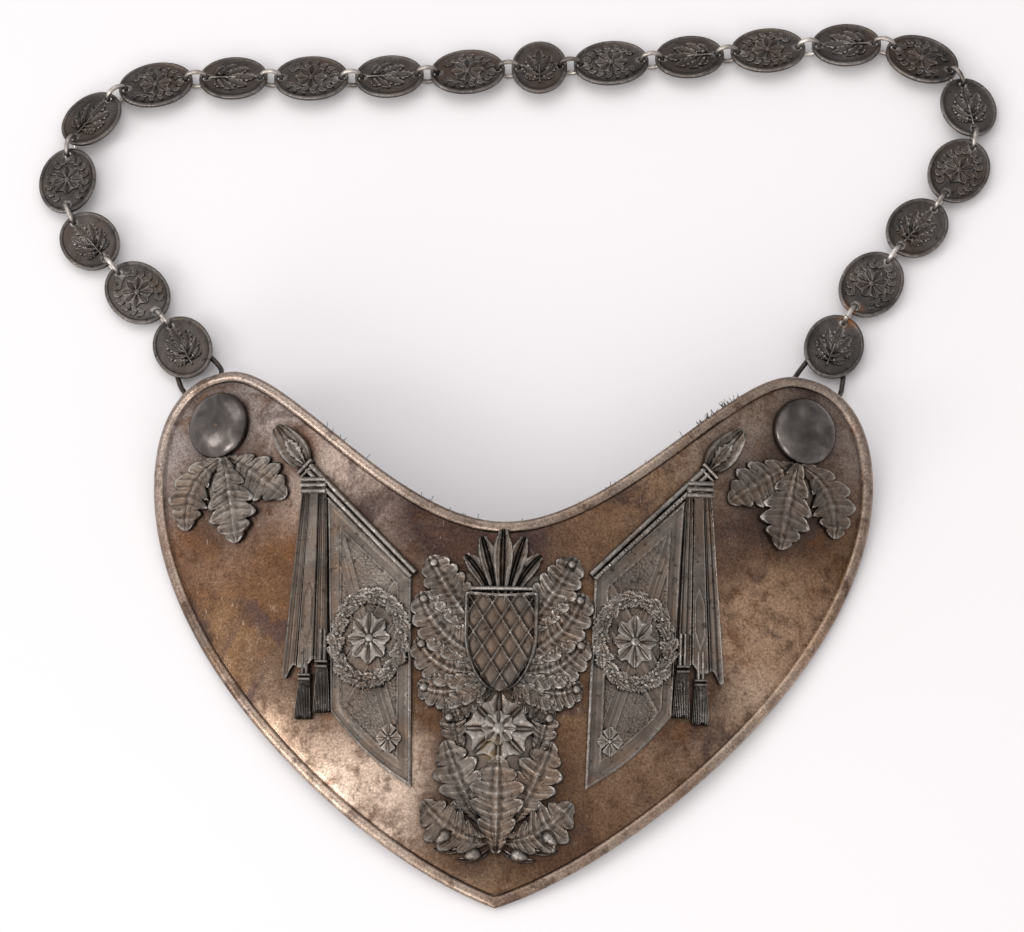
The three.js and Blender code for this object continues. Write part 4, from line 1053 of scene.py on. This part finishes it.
linkMeshes = {kind: makeLink(kind, linkShape) for kind in ("large", "small", "end", "crosswise")}
linkCount = linkShape["count"]
middleLink = (linkCount + 1) // 2
linkLows = [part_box("medallion_%02d" % number)[0] for number in range(1, linkCount + 1)]
loopMiddle = sum(linkLows, Vector()) / linkCount
for number in range(1, linkCount + 1):
    node = "medallion_%02d" % number
    centre, along, up = flatLie(node, linkShape["thick"])
    outward = (centre - loopMiddle).normalized()
    if number == middleLink:  # the middle link hangs crosswise, its sprig pointing out
        kind = "crosswise"
        if along.dot(outward) < 0:
            along = -along
    else:
        kind = "end" if number in (1, linkCount) else ("large" if number % 2 == 0 else "small")
        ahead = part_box("medallion_%02d" % (number + (1 if number < middleLink else -1)))
        if along.dot((ahead[0] + ahead[1]) / 2 - centre) < 0:
            along = -along
    basis = Matrix((along, up.cross(along), up)).transposed()
    bm = bmesh.new()
    bm.from_mesh(linkMeshes[kind])
    for vert in bm.verts:
        vert.co = centre + (basis @ vert.co) * mm
    if kind == "end":
        wire = softened(hookPath(-1 if number == 1 else 1, centre, basis, linkShape))
        addWires(bm, [wire], linkShape["hookWire"] / 2 * mm, True, 4)
    finishPiece("medallion%02d" % number, bm, "medallion", node, recalc=False)
print("medallions made")


# Jump rings: round wire with a hairline gap; a ring's axis is the way in which its own solid spreads least
def makeRing(number, look):
    node = "jump_ring_%02d" % number
    spots = [Vector(spot) for spot in cornersOf(node)]
    centre = sum(spots, Vector()) / len(spots)
    arms = numpy.array([spot - centre for spot in spots])
    inverse = Matrix((arms.T @ arms * 1e6).tolist()).inverted()
    normal = Vector((0.3, 0.5, 0.8))
    for _ in range(30):
        normal = (inverse @ normal).normalized()
    start = Matrix.Rotation(random.uniform(0, 6.28), 3, normal) @ normal.orthogonal().normalized()
    bm = bmesh.new()
    made = bmesh.ops.create_circle(bm, cap_ends=True, radius=look["ringWire"] / 2 * mm, segments=12)["verts"]
    lie = Matrix((start, normal, start.cross(normal))).transposed()
    for vert in made:
        vert.co = centre + start * look["ringRadius"] * mm + lie @ vert.co
    bmesh.ops.spin(bm, geom=bm.verts[:] + bm.edges[:] + bm.faces[:], cent=centre, axis=normal, dvec=(0, 0, 0),
                   angle=math.radians(356), steps=44, use_merge=False)
    finishPiece("jumpRing%02d" % number, bm, "ring", node)


for number in range(1, linkCount):
    makeRing(number, linkShape)
print("rings made")

for name in ("staple_left", "staple_right"):
    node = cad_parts[name]
    node.data.materials.clear()
    node.data.materials.append(finishes["medallion"])

# Floor, lights and camera
stageLook = {
    "floor": (0.815, 0.79, 0.797), "world": 0.95, "brightSide": (-0.3, -0.5, 0.4),
    "skyStops": [
        (0.2, (0.3, 0.3, 0.31)),
        (0.48, (0.72, 0.71, 0.72)),
        (0.68, (0.95, 0.94, 0.95)),
        (0.84, (1.5, 1.46, 1.43)),
    ],
    "lamps": [
        ("over", (-0.25, 0.5, 1.1), 0.9, 2.5),
        ("left", (-1.1, -0.4, 0.7), 0.4, 3.0),
        ("front", (-0.3, -1.0, 0.5), 0.4, 2.5),
    ],
    "target": (-0.3, 139.8), "distance": 0.9, "azimuth": 7, "elevation": 62, "roll": -5.54, "lens": 105.08,
}


def makeFloor(look):
    bm = bmesh.new()
    bmesh.ops.create_grid(bm, x_segments=4, y_segments=4, size=3)
    mesh = meshFrom("floor", bm)
    pale = Nodes(bpy.data.materials.new("paleFloor"))
    lighter = tuple(min(1, c * 1.02) for c in look["floor"])
    tone = pale.mottle([(0.3, look["floor"]), (0.7, lighter)], 3, 2, 0.5)
    pale.tree.nodes["Principled BSDF"].inputs["Specular IOR Level"].default_value = 0.2
    mesh.materials.append(pale.done(tone, 0.0, 0.9, []))
    floor = placed("floor", mesh)


def makeLights(look):
    world = bpy.data.worlds.new("studio")
    bpy.context.scene.world = world
    sky = Nodes(world, "Generated")
    lean = sky.node("VectorMath", "Value", {0: sky.coords, 1: look["brightSide"]}, operation="DOT_PRODUCT")
    shade = sky.tree.nodes["Background"].inputs
    sky.feed(shade["Color"], sky.ramp(sky.sums("ADD", sky.times(lean, 0.5), 0.5), look["skyStops"]))
    shade["Strength"].default_value = look["world"]
    for name, spot, size, power in look["lamps"]:
        lamp = bpy.data.lights.new(name, "AREA")
        lamp.size = size
        lamp.energy = power
        holder = placed(name, lamp)
        holder.location = spot
        holder.rotation_mode = "QUATERNION"
        holder.rotation_quaternion = (-Vector(spot)).to_track_quat("-Z", "Y")


def makeCamera(look):
    azimuth, elevation, roll = (math.radians(look[k]) for k in ("azimuth", "elevation", "roll"))
    flat, high = math.cos(elevation), math.sin(elevation)
    back = Vector((math.sin(azimuth) * flat, -math.cos(azimuth) * flat, high))
    right = Vector((math.cos(azimuth), math.sin(azimuth), 0))
    up = back.cross(right)
    x = right * math.cos(roll) + up * math.sin(roll)
    y = up * math.cos(roll) - right * math.sin(roll)
    lens = bpy.data.cameras.new("camera")
    lens.lens = look["lens"]
    lens.sensor_width = 36
    camera = placed("camera", lens)
    target = tip + Vector((look["target"][0] * mm, look["target"][1] * mm, 0))
    spot = target + back * look["distance"]
    camera.matrix_world = Matrix.Translation(spot) @ Matrix((x, y, back)).transposed().to_4x4()
    bpy.context.scene.camera = camera


makeFloor(stageLook)
makeLights(stageLook)
makeCamera(stageLook)
bpy.context.scene.view_settings.view_transform = "Standard"
print("stage made, tip at", tuple(round(c / mm, 3) for c in tip))
